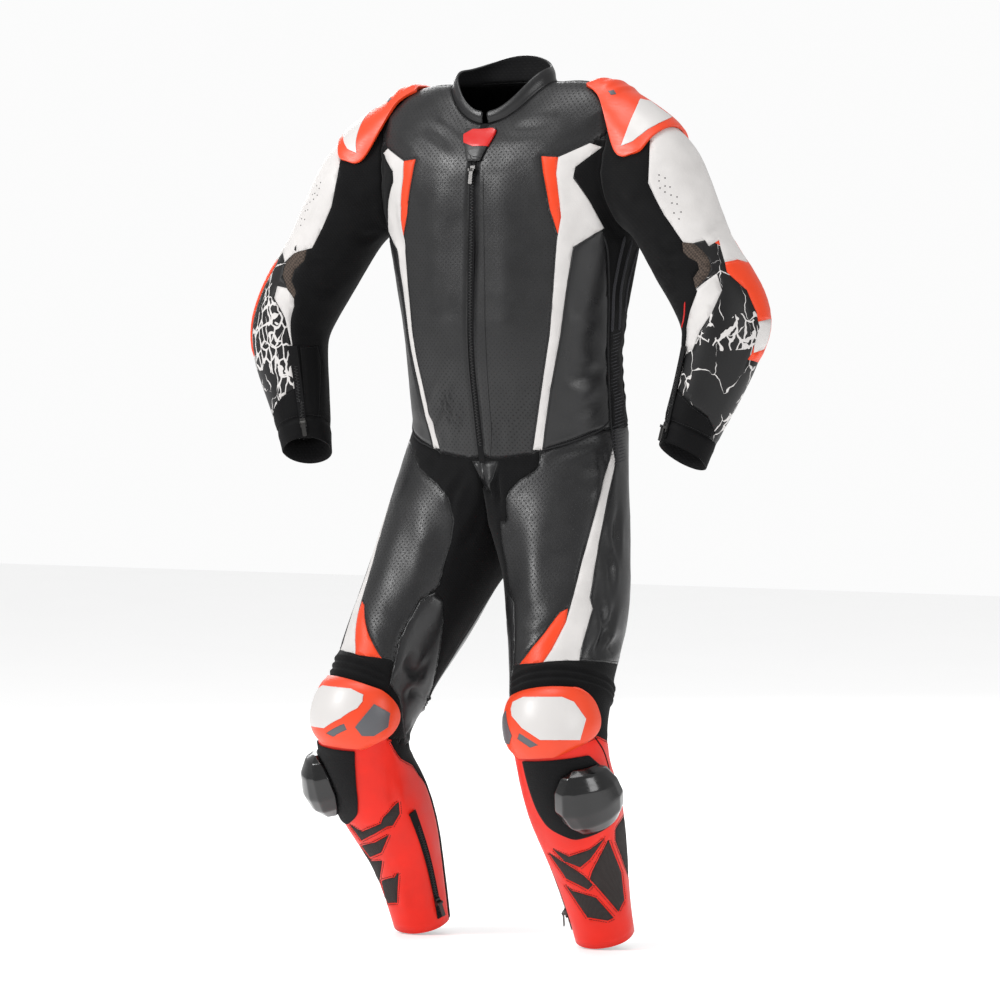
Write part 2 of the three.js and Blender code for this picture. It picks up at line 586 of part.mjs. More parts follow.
function buildLegs() {
  const yoke = seam(legSeams, "yoke");
  const wedgeSeam = seam(legSeams, "wedge");
  const stripe = seam(legSeams, "stripe");
  const outer = seam(legSeams, "outer");
  const inner = seam(legSeams, "inner");
  const again = (v) => yoke(v) + 360;
  const hipAngles = [
    ...spread(zipEdge(8), wedge(8), 3),
    inlay(8),
    ...spread(inlayOuter(8), sideSeams.front, 4),
    ...underArm.map((a) => {
      const reach = Math.cos(rad(armholeFront.at(-1)));
      return blend(sideSeams.front, sideSeams.back, (reach - Math.cos(rad(a))) / (2 * reach));
    }),
    ...spread(sideSeams.back, 180, 5),
  ].map(fromHip);
  const hipEnd = crotch.hipSpan - (crotch.hipSpan - 180) / 2;
  const crotchAngles = spread(hipEnd, hipEnd + 360 - crotch.hipSpan, 6).slice(1);
  const round = [...hipAngles, ...crotchAngles];
  const between = (from, to) => {
    const inside = [...round, ...round.map((a) => a + 360)].filter((a) => a > from + 0.3 && a < to - 0.3);
    return fractions([from, ...inside.sort((a, b) => a - b), to]);
  };
  const atHip = legSeams[0];
  const frontColumns = between(atHip.yoke, atHip.outer);
  const shinFront = seam(shinSeams, "front");
  const shinBack = seam(shinSeams, "back");
  const shinFrontAgain = (v) => shinFront(v) + 360;
  for (const { tag, mirror } of sides) {
    const piece = (from, to, left, right, columns, subRows) =>
      strip({ surface: leg, rows: rowsBetween(legRows, from, to), left, right, columns, subRows, mirror });
    const innerColumns = between(atHip.inner, atHip.yoke + 360);
    const outerColumns = between(atHip.outer, atHip.inner);
    const panels = [
      { name: "thigh_front", finish: "black", quads: piece(0, thighHem, yoke, wedgeSeam, frontColumns) },
      { name: "thigh_wedge", finish: "orange", quads: piece(thighWedgeTop, thighHem, wedgeSeam, stripe, 1) },
      { name: "thigh_stripe", finish: "white", quads: piece(0, thighHem, stripe, outer, 1) },
      { name: "thigh_outer", finish: "black", quads: piece(0, thighHem, outer, inner, outerColumns) },
      { name: "shin", finish: "red", quads: piece(kneeHem, 9, shinFront, shinBack, 16) },
    ];
    for (const { name, finish, quads } of panels) add(`${name}_${tag}`, wall(quads, -leather, leather), finish);
    const inside = piece(0, kneeHem, inner, again, innerColumns);
    add(`inner_thigh_${tag}`, wall(inside, -stretch, stretch), "stretch");
    const calf = piece(kneeHem, 9, shinBack, shinFrontAgain, 8);
    add(`calf_${tag}`, wall(calf, -stretch, stretch), "stretch");
    const kneeShare = (v) => (v - thighHem) / (kneeRibHem - thighHem);
    const banded = (v) => (v < kneeRibHem ? kneeRibs.rise * wave(kneeRibs.count * kneeShare(v)) : 0);
    const kneeRib = ({ v }) => stretch + banded(v);
    const knee = piece(thighHem, kneeRibHem, yoke, inner, 18, 6);
    knee.push(...piece(kneeRibHem, kneeHem, yoke, inner, 18));
    add(`knee_panel_${tag}`, wall(knee, -stretch, kneeRib), "stretch");
  }
}

// A piece that lies on a panel, between the left and right edges of a table
function onLeg(table, columns, mirror, halved = false) {
  const middle = (i) => (halved && i > 0 ? [blend(table[i - 1].v, table[i].v, 0.5)] : []);
  const rows = table.flatMap((row, i) => [...middle(i), row.v]);
  const left = seam(table, "left");
  const right = seam(table, "right");
  return strip({ surface: leg, rows, left, right, columns, mirror });
}
const along = (table, v) => (v - table[0].v) / (table.at(-1).v - table[0].v);

function buildLegPieces() {
  const cupRise = ({ u, v }) => kneeCup.rim + kneeCup.height * dome(along(kneeCupEdges, v), u);
  const puckRise = ({ u, v }) => puck.rim + puck.height * dome(along(puckEdges, v), u);
  const puckBase = hookPatch.base + hookPatch.wall + overlayRise;
  for (const { tag, mirror } of sides) {
    add(`knee_cup_${tag}`, wall(onLeg(kneeCupEdges, 10, mirror), kneeCup.base, cupRise), "orange");
    const patch = onLeg(hookPatchEdges, 8, mirror, true);
    add(`hook_patch_${tag}`, wall(patch, hookPatch.base, hookPatch.wall), "stretch");
    add(`knee_slider_${tag}`, wall(onLeg(puckEdges, 8, mirror), puckBase, puckRise), "hard");
  }
}

function buildShoulderCups() {
  const arcs = shoulderCupArcs.map(({ on, v, front, back }) => (percent) => {
    const angle = blend(front, back, percent / 100);
    return on === "torso" ? torso(v, angle) : sleeve(v, angle);
  });
  const surface = throughRings(arcs);
  for (const { tag, mirror } of sides) {
    const last = arcs.length - 1;
    const rows = spread(0, last, 12);
    const quads = strip({ surface, rows, left: fixed(0), right: fixed(100), columns: 8, mirror });
    const rise = ({ u, v }) => {
      const ridged = v > 0.3 && v < 1.7 && u > 0.2 && u < 0.8;
      const ridges = ridged ? shoulderCup.ridge * wave(v * shoulderCup.ridgeTurns) : 0;
      return shoulderCup.rim + ridges + shoulderCup.height * dome(v / last, u);
    };
    add(`shoulder_cup_${tag}`, wall(quads, shoulderCup.lift, rise), "orange");
  }
}

// A closed block from a shape in the x-y plane, raised from z = low to z = high
function block(points, low, high, hole) {
  const shape = new THREE.Shape(points.map(([x, y]) => new THREE.Vector2(x, y)));
  if (hole) shape.holes.push(new THREE.Path(hole.map(([x, y]) => new THREE.Vector2(x, y))));
  const made = new THREE.ExtrudeGeometry(shape, { depth: high - low, bevelEnabled: false });
  made.translate(0, 0, low);
  made.deleteAttribute("normal");
  made.deleteAttribute("uv");
  return mergeVertices(made, 1e-3);
}
const circle = (radius, count) => spread(0, 2 * Math.PI, count).slice(0, count)
  .map((a) => [radius * Math.cos(a), radius * Math.sin(a)]);

// A slider in its own frame: x across the zip, y up it and z out of the cloth. Its pin
// carries the pull tab, which hangs on an eye with room to turn.
const pinHeight = slider.height + pullTab.boss + 0.5;
function sliderSolid() {
  const { width, length, height, taper, pin } = slider;
  const ear = sliderEar.half;
  const half = width / 2;
  const top = length / 2;
  const outline = [[-half, -top], [half, -top], [half * taper, top], [-half * taper, top]];
  let made = solidOf(block(outline, 0, height));
  const reach = pullTab.width / 2 + pullTab.play;
  for (const sign of [-1, 1]) {
    const [near, far] = [sign * reach, sign * (reach + sliderEar.wall)].sort((a, b) => a - b);
    const square = [[near, -ear], [far, -ear], [far, ear], [near, ear]];
    made = made.add(solidOf(block(square, height - 0.5, pinHeight + sliderEar.cap)));
  }
  const bar = block(circle(pin, 8), -reach - 0.5, reach + 0.5);
  bar.rotateY(Math.PI / 2);
  bar.translate(0, 0, pinHeight);
  return made.add(solidOf(bar));
}
function pullSolid() {
  const { width, length, wall: thick, eye, boss, neck } = pullTab;
  const half = width / 2;
  const ring = block(circle(boss, 8), -half, half, circle(eye, 8));
  ring.rotateY(Math.PI / 2);
  const top = -eye - neck;
  const blade = [[-half, -length], [half, -length], [half, top], [-half, top]];
  return solidOf(ring).add(solidOf(block(blade, -thick / 2, thick / 2)));
}

// The frame of a zip's slider on a surface, at v and angle
function zipFrame(surface, v, angle, rise, mirror) {
  const origin = surface(v, angle);
  const out = outward(surface, v, angle);
  const up = surface(v - 0.05, angle).sub(surface(v + 0.05, angle));
  up.addScaledVector(out, -up.dot(out)).normalize();
  origin.addScaledVector(out, rise);
  for (const vector of [origin, out, up]) vector.x *= mirror;
  const across = new THREE.Vector3().crossVectors(up, out);
  const matrix = new THREE.Matrix4().makeBasis(across, up, out).setPosition(origin);
  return { matrix, up, out };
}

// A zip's tape with its slider, and the pull tab, which hangs straight down where it can
function buildZip(tapeName, pullName, tape, frame) {
  const head = geometryOf(sliderSolid());
  head.applyMatrix4(frame.matrix);
  add(tapeName, geometryOf(solidOf(tape).add(solidOf(head))), "metal");
  const down = new THREE.Vector3(0, 0, -1);
  const lift = Math.atan2(down.dot(frame.out), -down.dot(frame.up));
  const hang = Math.max(lift, 0);
  const pull = geometryOf(pullSolid());
  pull.rotateX(-hang);
  pull.translate(0, 0, pinHeight);
  pull.applyMatrix4(frame.matrix);
  add(pullName, pull, "metal");
}

function buildZips() {
  const mainLeft = (v) => -zipEdge(v);
  const coil = ({ u }) => tapeWall + (u > 0.4 && u < 0.6 ? mainZip.coil : 0);
  const main = strip({ surface: torso, rows: torsoRows, left: mainLeft, right: zipEdge, columns: 2 });
  const mainFrame = zipFrame(torso, mainZip.sliderV, 0, mainZip.sliderRise, 1);
  buildZip("front_zip", "front_pull", wall(main, -mainZip.depth, coil), mainFrame);
  const front = seam(sleeveSeams, "front");
  const calfEdge = (sign) => () => calfZip.angle + sign * calfZip.half;
  const wristEdge = (sign) => (v) => front(v) + wristZip.fromSeam + sign * wristZip.half;
  const rowsTo = (rows, { top, bottom }) => [...rowsBetween(rows, top, bottom - 0.2), bottom];
  for (const { tag, mirror } of sides) {
    const calf = strip({
      surface: leg,
      rows: rowsTo(legRows, calfZip),
      left: calfEdge(-1),
      right: calfEdge(1),
      columns: 2,
      mirror,
    });
    const calfFrame = zipFrame(leg, calfZip.sliderV, calfZip.angle, tapeSliderRise, mirror);
    buildZip(`calf_zip_${tag}`, `calf_pull_${tag}`, wall(calf, sideTapeBase, tapeWall), calfFrame);
    const wrist = strip({
      surface: sleeve,
      rows: rowsTo(sleeveRows, wristZip),
      left: wristEdge(-1),
      right: wristEdge(1),
      columns: 2,
      mirror,
    });
    const wristAngle = front(wristZip.sliderV) + wristZip.fromSeam;
    const wristFrame = zipFrame(sleeve, wristZip.sliderV, wristAngle, tapeSliderRise, mirror);
    buildZip(`wrist_zip_${tag}`, `wrist_pull_${tag}`, wall(wrist, sideTapeBase, tapeWall), wristFrame);
  }
}

// The hard hood over the top of the main zip, under which its slider parks
function buildGarage() {
  const half = seam(garageEdges, "half");
  const right = (v) => angleAt(v, half(v));
  const left = (v) => -right(v);
  const rise = ({ u, v }) => garage.rim + garage.height * dome(along(garageEdges, v) * 0.8 + 0.1, u);
  const quads = strip({ surface: torso, rows: garageEdges.map((row) => row.v), left, right, columns: 6 });
  add("zip_garage", wall(quads, garage.base, rise), "hard");
}

buildTorso();
buildCollar();
buildSleeves();
buildLegs();
buildLegPieces();
buildShoulderCups();
buildZips();
buildGarage();

export default suit;
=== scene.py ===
import json
import math

import bmesh
import bpy
import numpy as np
from mathutils import Matrix, Vector, noise
from mathutils.bvhtree import BVHTree
from mathutils.kdtree import KDTree


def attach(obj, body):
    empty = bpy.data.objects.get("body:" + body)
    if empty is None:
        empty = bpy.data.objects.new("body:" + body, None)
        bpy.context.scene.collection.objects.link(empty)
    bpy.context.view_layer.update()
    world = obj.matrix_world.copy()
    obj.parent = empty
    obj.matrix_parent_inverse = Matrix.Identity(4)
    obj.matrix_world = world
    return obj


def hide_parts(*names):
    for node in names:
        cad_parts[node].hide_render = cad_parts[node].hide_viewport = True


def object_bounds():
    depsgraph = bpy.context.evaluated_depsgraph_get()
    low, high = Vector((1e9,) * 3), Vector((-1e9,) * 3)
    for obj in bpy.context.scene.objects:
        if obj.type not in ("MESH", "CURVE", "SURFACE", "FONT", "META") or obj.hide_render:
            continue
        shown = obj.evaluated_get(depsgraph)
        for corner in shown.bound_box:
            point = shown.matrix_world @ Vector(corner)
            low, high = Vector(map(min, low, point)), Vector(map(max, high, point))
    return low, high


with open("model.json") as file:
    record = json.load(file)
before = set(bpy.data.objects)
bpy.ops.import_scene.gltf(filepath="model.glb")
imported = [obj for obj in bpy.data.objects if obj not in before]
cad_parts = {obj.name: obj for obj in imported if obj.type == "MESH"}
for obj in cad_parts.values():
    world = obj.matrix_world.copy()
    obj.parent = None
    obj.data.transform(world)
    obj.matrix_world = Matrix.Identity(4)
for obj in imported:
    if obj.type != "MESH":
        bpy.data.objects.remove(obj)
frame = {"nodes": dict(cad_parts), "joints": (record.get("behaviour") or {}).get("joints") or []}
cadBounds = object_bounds()
nodes = frame["nodes"]
print("frame loaded")

# Camera, at the photograph's angle

camera = {"azimuth": 32, "elevation": 2, "distance": 7.0, "lens": 162.6, "sideways": -0.02325,
          "height": -0.6045, "sensor": 36, "picture": 1000, "farthest": 60}


def aim(turn):
    a = math.radians(camera["azimuth"] + turn)
    e = math.radians(camera["elevation"])
    back = Vector((math.sin(a) * math.cos(e), -math.cos(a) * math.cos(e), math.sin(e)))
    right = Vector((math.cos(a), math.sin(a), 0))
    target = right * camera["sideways"] + Vector((0, 0, camera["height"]))
    return target + back * camera["distance"], back, right, back.cross(right)


frontAim = aim(0)
cameraObject = bpy.data.objects.new("camera", bpy.data.cameras.new("camera"))
cameraObject.data.lens = camera["lens"]
cameraObject.data.clip_end = camera["farthest"]
eye, back, right, up = frontAim
cameraObject.matrix_world = Matrix((
    (right.x, up.x, back.x, eye.x),
    (right.y, up.y, back.y, eye.y),
    (right.z, up.z, back.z, eye.z),
    (0, 0, 0, 1),
))
bpy.context.collection.objects.link(cameraObject)
bpy.context.scene.camera = cameraObject
pixelPitch = camera["sensor"] / camera["lens"] / camera["picture"]
middle = camera["picture"] / 2


# Where a point shows, in pixels of a picture 1000 wide, and the ray behind a pixel
def toPixel(point, view):
    eye, back, right, up = view
    away = point - eye
    depth = -away.dot(back) * pixelPitch
    return Vector((middle + away.dot(right) / depth, middle - away.dot(up) / depth))


def pixelRay(px, py, view):
    eye, back, right, up = view
    return (right * (px - middle) * pixelPitch - up * (py - middle) * pixelPitch - back).normalized()


# Shader maths: a Wire is a socket that Python's operators act on

class Wire:
    def __init__(self, tree, socket):
        self.tree = tree
        self.socket = socket

    def maths(self, operation, other):
        made = self.tree.nodes.new("ShaderNodeMath")
        made.operation = operation
        for place, value in enumerate((self, other)):
            if isinstance(value, Wire):
                self.tree.links.new(value.socket, made.inputs[place])
            else:
                made.inputs[place].default_value = value
        return Wire(self.tree, made.outputs[0])

    def __add__(self, other):
        return self.maths("ADD", other)

    def __sub__(self, other):
        return self.maths("SUBTRACT", other)

    def __mul__(self, other):
        return self.maths("MULTIPLY", other)

    def __gt__(self, other):
        return self.maths("GREATER_THAN", other)

    def __lt__(self, other):
        return self.maths("LESS_THAN", other)


class Finish:
    def __init__(self, name, **fixed):
        self.material = bpy.data.materials.new(name)
        self.material.use_nodes = True
        self.tree = self.material.node_tree
        self.shader = self.tree.nodes["Principled BSDF"]
        for socket, value in fixed.items():
            self.shader.inputs[socket.replace("_", " ")].default_value = value

    def node(self, kind, settings, inputs, output=0):
        made = self.tree.nodes.new(kind)
        for key, value in settings.items():
            setattr(made, key, value)
        for key, value in inputs.items():
            if isinstance(value, Wire):
                self.tree.links.new(value.socket, made.inputs[key])
            else:
                made.inputs[key].default_value = value
        return Wire(self.tree, made.outputs[output])

    def feed(self, socket, wire):
        self.tree.links.new(wire.socket, self.shader.inputs[socket])

    def place(self, turn=(0, 0, 0), stretch=(1, 1, 1)):
        coordinates = self.node("ShaderNodeTexCoord", {}, {}, "Object")
        return self.node("ShaderNodeMapping", {}, {"Vector": coordinates, "Rotation": turn, "Scale": stretch})

    def grain(self, vector, scale, detail=3.0):
        inputs = {"Vector": vector, "Scale": scale, "Detail": detail}
        return self.node("ShaderNodeTexNoise", {}, inputs, "Fac")

    def cells(self, vector, scale, spread=1.0, feature="F1"):
        inputs = {"Vector": vector, "Scale": scale, "Randomness": spread}
        return self.node("ShaderNodeTexVoronoi", {"feature": feature}, inputs, "Distance")

    def mix(self, factor, first, second):
        inputs = {0: factor, 6: first, 7: second}
        return self.node("ShaderNodeMix", {"data_type": "RGBA"}, inputs, 2)

    def between(self, value, low, high, toLow=0.0, toHigh=1.0):
        inputs = {"Value": value, "From Min": low, "From Max": high, "To Min": toLow, "To Max": toHigh}
        return self.node("ShaderNodeMapRange", {}, inputs)

    def bump(self, height, distance, strength=1.0):
        inputs = {"Height": height, "Distance": distance, "Strength": strength}
        self.feed("Normal", self.node("ShaderNodeBump", {}, inputs))


def rgb(red, green, blue):
    linear = [c / 255 / 12.92 if c <= 10 else ((c / 255 + 0.055) / 1.055) ** 2.4 for c in (red, green, blue)]
    return (*linear, 1)


def shade(color, share):
    return (*[c * share for c in color[:3]], 1)


leatherLook = {"grain": 620, "mottle": 26, "grainDepth": 0.00022, "holePitch": 0.0059, "holeRadius": 0.21,
               "holeTurn": 45, "holeShade": 0.75, "holeDepth": 3.0, "holePatches": 3.2}


# Leather: pebbled grain, soft mottling, and rows of small holes where it is perforated, the holes painted
# near black as painted shade inside them
def leather(name, color, roughness, holes=False, shine=0.32):
    made = Finish(name, Specular_IOR_Level=shine)
    place = made.place()
    pebble = made.cells(place, leatherLook["grain"])
    mottle = made.grain(place, leatherLook["mottle"], 4)
    worn = made.between(mottle, 0.35, 0.7, -0.05, 0.07)
    tone = made.mix(made.between(mottle, 0.3, 0.75), shade(color, 0.93), shade(color, 1.06))
    height = made.between(pebble, 0.0, 0.6)
    rough = made.between(pebble, 0.0, 0.7, roughness + 0.04, roughness - 0.04) + worn
    if holes:
        flat = made.node("ShaderNodeMapping", {}, {
            "Vector": made.place(),
            "Rotation": (0, math.radians(leatherLook["holeTurn"]), 0),
            "Scale": (1, 0.0, 1),
        })
        dots = made.cells(flat, 1 / leatherLook["holePitch"], 0.0)
        hole = dots < leatherLook["holeRadius"]
        patchy = made.between(made.grain(place, leatherLook["holePatches"], 1), 0.26, 0.42)
        hole = hole * patchy
        # The holes are real; their near-black tone is painted shade inside them
        tone = made.mix(hole * leatherLook["holeShade"], tone, shade(color, 0.1))
        height = height - hole * leatherLook["holeDepth"]
        rough = rough + hole * 0.25
    made.feed("Base Color", tone)
    made.feed("Roughness", rough)
    made.bump(height, leatherLook["grainDepth"], 0.5)
    return made.material


knitLook = {"wavesPerScale": 6.3, "bend": 0.4}


# Stretch cloth: a fine knit in rows, dull and soft
def knit(name, color, pitch=0.0016, depth=0.00035, roughness=0.85):
    made = Finish(name, Specular_IOR_Level=0.12, Sheen_Weight=0.04, Sheen_Roughness=0.5)
    place = made.place()
    scale = 1 / pitch / knitLook["wavesPerScale"]
    inputs = {"Vector": place, "Scale": scale, "Distortion": knitLook["bend"], "Detail": 0.0}
    rows = made.node("ShaderNodeTexWave", {"bands_direction": "Z"}, inputs, "Fac")
    wales = made.node("ShaderNodeTexWave", {"bands_direction": "DIAGONAL"}, inputs, "Fac")
    weave = rows * wales
    mottle = made.grain(place, 40)
    made.feed("Base Color", made.mix(weave * 0.6 + mottle * 0.3, shade(color, 0.7), shade(color, 1.5)))
    made.feed("Roughness", made.between(mottle, 0.3, 0.7, roughness - 0.06, roughness + 0.06))
    made.bump(weave, depth, 0.6)
    return made.material


# Moulded plastic: smooth, with fine scuffs
def moulded(name, color, roughness, coat=0.0):
    made = Finish(name, Specular_IOR_Level=0.5, Coat_Weight=coat, Coat_Roughness=0.06)
    place = made.place()
    scuffs = made.grain(made.place(stretch=(1, 1, 4)), 90, 5)
    made.feed("Base Color", made.mix(made.grain(place, 14), shade(color, 0.92), shade(color, 1.05)))
    made.feed("Roughness", made.between(scuffs, 0.4, 0.75, roughness, roughness + 0.12))
    made.bump(made.grain(place, 700, 2), 0.00006, 0.4)
    return made.material


def metal(name, color, roughness):
    made = Finish(name, Metallic=1.0)
    brushed = made.grain(made.place(stretch=(1, 1, 8)), 400, 2)
    made.feed("Base Color", made.mix(brushed, shade(color, 0.8), shade(color, 1.2)))
    made.feed("Roughness", made.between(brushed, 0.3, 0.7, roughness - 0.06, roughness + 0.1))
    return made.material


# Woven aramid: a coarse plain weave of two yarns
def woven(name, first, second, pitch):
    made = Finish(name, Specular_IOR_Level=0.2)
    place = made.place()
    checks = made.node("ShaderNodeTexChecker", {}, {"Vector": place, "Scale": 1 / pitch}, "Fac")
    fuzz = made.grain(place, 300)
    made.feed("Base Color", made.mix(checks * 0.7 + fuzz * 0.3, first, second))
    made.feed("Roughness", made.between(fuzz, 0.3, 0.7, 0.7, 0.9))
    made.bump(checks + fuzz, 0.0003, 0.7)
    return made.material


# Hook and loop: a dense pile of short curls
def fuzzy(name, color):
    made = Finish(name, Specular_IOR_Level=0.1, Sheen_Weight=0.06, Sheen_Roughness=0.6)
    place = made.place()
    curls = made.cells(place, 900) + made.grain(place, 500)
    made.feed("Base Color", made.mix(made.between(curls, 0.4, 1.2), shade(color, 0.6), shade(color, 1.7)))
    made.feed("Roughness", made.between(curls, 0.3, 1.2, 0.85, 1.0))
    made.bump(curls, 0.0008, 0.9)
    return made.material


printLook = {"cracks": 24, "fine": 66, "line": 0.022, "fineLine": 0.07, "breaks": 30, "patches": 9,
             "warp": 0.035, "warpScale": 20, "patchLevel": 0.51}


# The forearm's print: black with broken white splits, dense in places
def printed(name, light, dark):
    made = Finish(name, Specular_IOR_Level=0.3)
    place = made.place()
    inputs = {"Vector": place, "Scale": printLook["warpScale"], "Detail": 3}
    warp = made.node("ShaderNodeTexNoise", {}, inputs, "Color")
    bent = made.node("ShaderNodeVectorMath", {"operation": "MULTIPLY_ADD"}, {
        0: warp, 1: (printLook["warp"],) * 3, 2: made.place(turn=(0.5, 0.9, 0.2), stretch=(1, 1, 0.5))})
    splits = made.cells(bent, printLook["cracks"], 1.0, "DISTANCE_TO_EDGE")
    shards = made.cells(bent, printLook["fine"], 1.0, "DISTANCE_TO_EDGE")
    breaks = made.grain(place, printLook["breaks"], 2)
    patches = made.grain(place, printLook["patches"], 1)
    width = made.between(breaks, 0.42, 0.62, 0.0, printLook["line"])
    white = splits < width
    dense = (shards < printLook["fineLine"]) * (patches > printLook["patchLevel"])
    pebble = made.cells(place, leatherLook["grain"])
    both = made.between(white + dense, 0.0, 0.9)
    made.feed("Base Color", made.mix(both, dark, light))
    made.feed("Roughness", made.between(pebble, 0, 0.7, 0.52, 0.44))
    made.bump(pebble, leatherLook["grainDepth"], 0.5)
    return made.material


colors = {
    "black": rgb(27, 27, 28),
    "stretch": rgb(12, 12, 13),
    "white": rgb(203, 200, 198),
    "orange": rgb(225, 64, 24),
    "red": rgb(218, 30, 8),
    "insert": rgb(48, 44, 43),
    "grey": rgb(84, 86, 90),
}
finishes = {
    "perforated": leather("perforatedLeather", colors["black"], 0.38, holes=True, shine=0.4),
    "black": leather("blackLeather", colors["black"], 0.36, shine=0.42),
    "white": leather("whiteLeather", colors["white"], 0.46),
    "orange": leather("orangeLeather", colors["orange"], 0.46),
    "red": leather("redLeather", colors["red"], 0.46),
    "insert": woven("darkInsert", shade(colors["insert"], 0.8), shade(colors["insert"], 1.2), 0.0022),
    "aramid": woven("aramid", rgb(48, 42, 38), rgb(88, 76, 68), 0.003),
    "stretch": knit("stretchCloth", colors["stretch"]),
    "cuff": leather("cuffLeather", rgb(12, 12, 13), 0.66, shine=0.09),
    "hook": fuzzy("hookAndLoop", rgb(13, 13, 14)),
    "puck": moulded("puckPlastic", rgb(5, 5, 6), 0.16, coat=0.25),
    "garage": moulded("garagePlastic", rgb(22, 22, 23), 0.36),
    "orangePlastic": moulded("orangePlastic", colors["orange"], 0.36),
    "whitePlastic": moulded("whitePlastic", colors["white"], 0.34),
    "greyPlastic": moulded("greyPlastic", colors["grey"], 0.36),
    "print": printed("printedLeather", colors["white"], rgb(15, 15, 16)),
    "tape": knit("zipTape", rgb(20, 20, 21), 0.001),
    "metal": metal("zipMetal", rgb(78, 77, 76), 0.34),
    "thread": knit("thread", rgb(34, 34, 35), 0.0008),
    "label": moulded("redLabel", rgb(196, 20, 16), 0.3),
    "lining": knit("lining", rgb(20, 20, 21), 0.0022),
    "rib": knit("greyRib", rgb(58, 58, 61), 0.0014),
    "pipe": knit("darkPiping", rgb(40, 40, 41), 0.0010),
}
print("finishes made")

# The sewn panels. Each family gives its limb, finish, slot and the panel's cut width and length.

families = {
    "front": ("torso", "perforated", "black_leather", 0.2, 0.6),
    "chest_wedge": ("torso", "orange", "orange_leather", 0.028, 0.122),
    "inlay": ("torso", "white", "white_leather", 0.07, 0.47),
    "side_front": ("torso", "black", "black_leather", 0.11, 0.49),
    "side_stretch": ("torso", "stretch", "black_stretch", 0.08, 0.32),
    "back_yoke": ("torso", "black", "black_leather", 0.44, 0.36),
    "back_lower": ("torso", "stretch", "black_stretch", 0.42, 0.34),
    "collar": ("collar", "black", "black_leather", 0.05, 0.4),
    "sleeve_upper": ("sleeve", "white", "white_leather", 0.26, 0.32),
    "sleeve_inner": ("sleeve", "stretch", "black_stretch", 0.2, 0.48),
    "elbow_patch": ("sleeve", "aramid", "grey_aramid", 0.04, 0.075),
    "elbow": ("sleeve", "orange", "orange_leather", 0.17, 0.20),
    "forearm": ("sleeve", "print", "printed_leather", 0.2, 0.31),
    "cuff": ("sleeve", "cuff", "grey_cuff", 0.05, 0.27),
    "inner_thigh": ("leg", "stretch", "black_stretch", 0.17, 0.47),
    "thigh_front": ("leg", "perforated", "black_leather", 0.17, 0.41),
    "thigh_wedge": ("leg", "orange", "orange_leather", 0.04, 0.115),
    "thigh_stripe": ("leg", "white", "white_leather", 0.055, 0.365),
    "thigh_outer": ("leg", "black", "black_leather", 0.34, 0.48),
    "knee_panel": ("leg", "stretch", "black_stretch", 0.34, 0.16),
    "shin": ("leg", "red", "red_leather", 0.27, 0.38),
    "calf": ("leg", "stretch", "black_stretch", 0.14, 0.36),
}
middlePanels = ("back_yoke", "back_lower", "collar")
limbLines = {
    "torso": [(0, 0, -0.14), (0, 0, -0.51)],
    "collar": [(0, -0.03, -0.03), (0, -0.03, 0.06)],
    "sleeve": [
        (0.205, -0.01, -0.10), (0.262, -0.02, -0.118), (0.301, -0.028, -0.172), (0.333, -0.032, -0.228),
        (0.374, -0.036, -0.29), (0.393, -0.044, -0.355), (0.373, -0.054, -0.425), (0.353, -0.065, -0.485),
        (0.34, -0.073, -0.53),
    ],
    "leg": [
        (0.075, 0.005, -0.50), (0.127, -0.055, -0.735), (0.151, -0.104, -0.832), (0.167, -0.14, -0.905),
        (0.177, -0.156, -0.96), (0.179, -0.143, -1.015), (0.174, -0.111, -1.072), (0.168, -0.072, -1.134),
        (0.165, -0.04, -1.196), (0.165, -0.01, -1.264),
    ],
}
shellLook = {"merge": 0.0009, "seam": 0.004, "sag": 0.12, "levels": 2, "wall": 0.0022, "collarWall": 0.0035,
             "hair": 0.00001, "neckSeam": 0.006, "flat": 0.9, "square": 3.1, "ends": 0.04, "drawn": 0.012}
bothSides = (("_left", 1), ("_right", -1))


def tagsOf(family, middle):
    return (("", 1),) if family in middle else bothSides


# The direction from a limb's middle line to a point
def fromLine(point, limb, mirror):
    line = [Vector((x * mirror, y, z)) for x, y, z in limbLines[limb]]
    best = None
    for a, b in zip(line, line[1:]):
        t = max(0, min(1, (point - a).dot(b - a) / (b - a).length_squared))
        away = point - a.lerp(b, t)
        if best is None or away.length < best.length:
            best = away
    return best


# A node's outer face: its points whose faces turn away from the limb's middle line
def outerSkin(nodeName, limb, mirror):
    bm = bmesh.new()
    bm.from_mesh(nodes[nodeName].data)
    bmesh.ops.remove_doubles(bm, verts=bm.verts, dist=shellLook["hair"])
    inner = []
    for vert in bm.verts:
        turned = sum((f.normal * f.calc_area() for f in vert.link_faces), Vector())
        if turned.dot(fromLine(vert.co, limb, mirror)) < 0:
            inner.append(vert)
    bmesh.ops.delete(bm, geom=inner, context="VERTS")
    bmesh.ops.join_triangles(bm, faces=bm.faces, angle_face_threshold=shellLook["flat"],
                             angle_shape_threshold=shellLook["square"])
    return bm


def meshOf(bm, name):
    mesh = bpy.data.meshes.new(name)
    bm.to_mesh(mesh)
    bm.free()
    return mesh


def linked(name, mesh):
    made = bpy.data.objects.new(name, mesh)
    bpy.context.collection.objects.link(made)
    return made


def applied(obj):
    bpy.context.view_layer.update()
    mesh = bpy.data.meshes.new_from_object(obj.evaluated_get(bpy.context.evaluated_depsgraph_get()))
    bpy.data.objects.remove(obj)
    return mesh


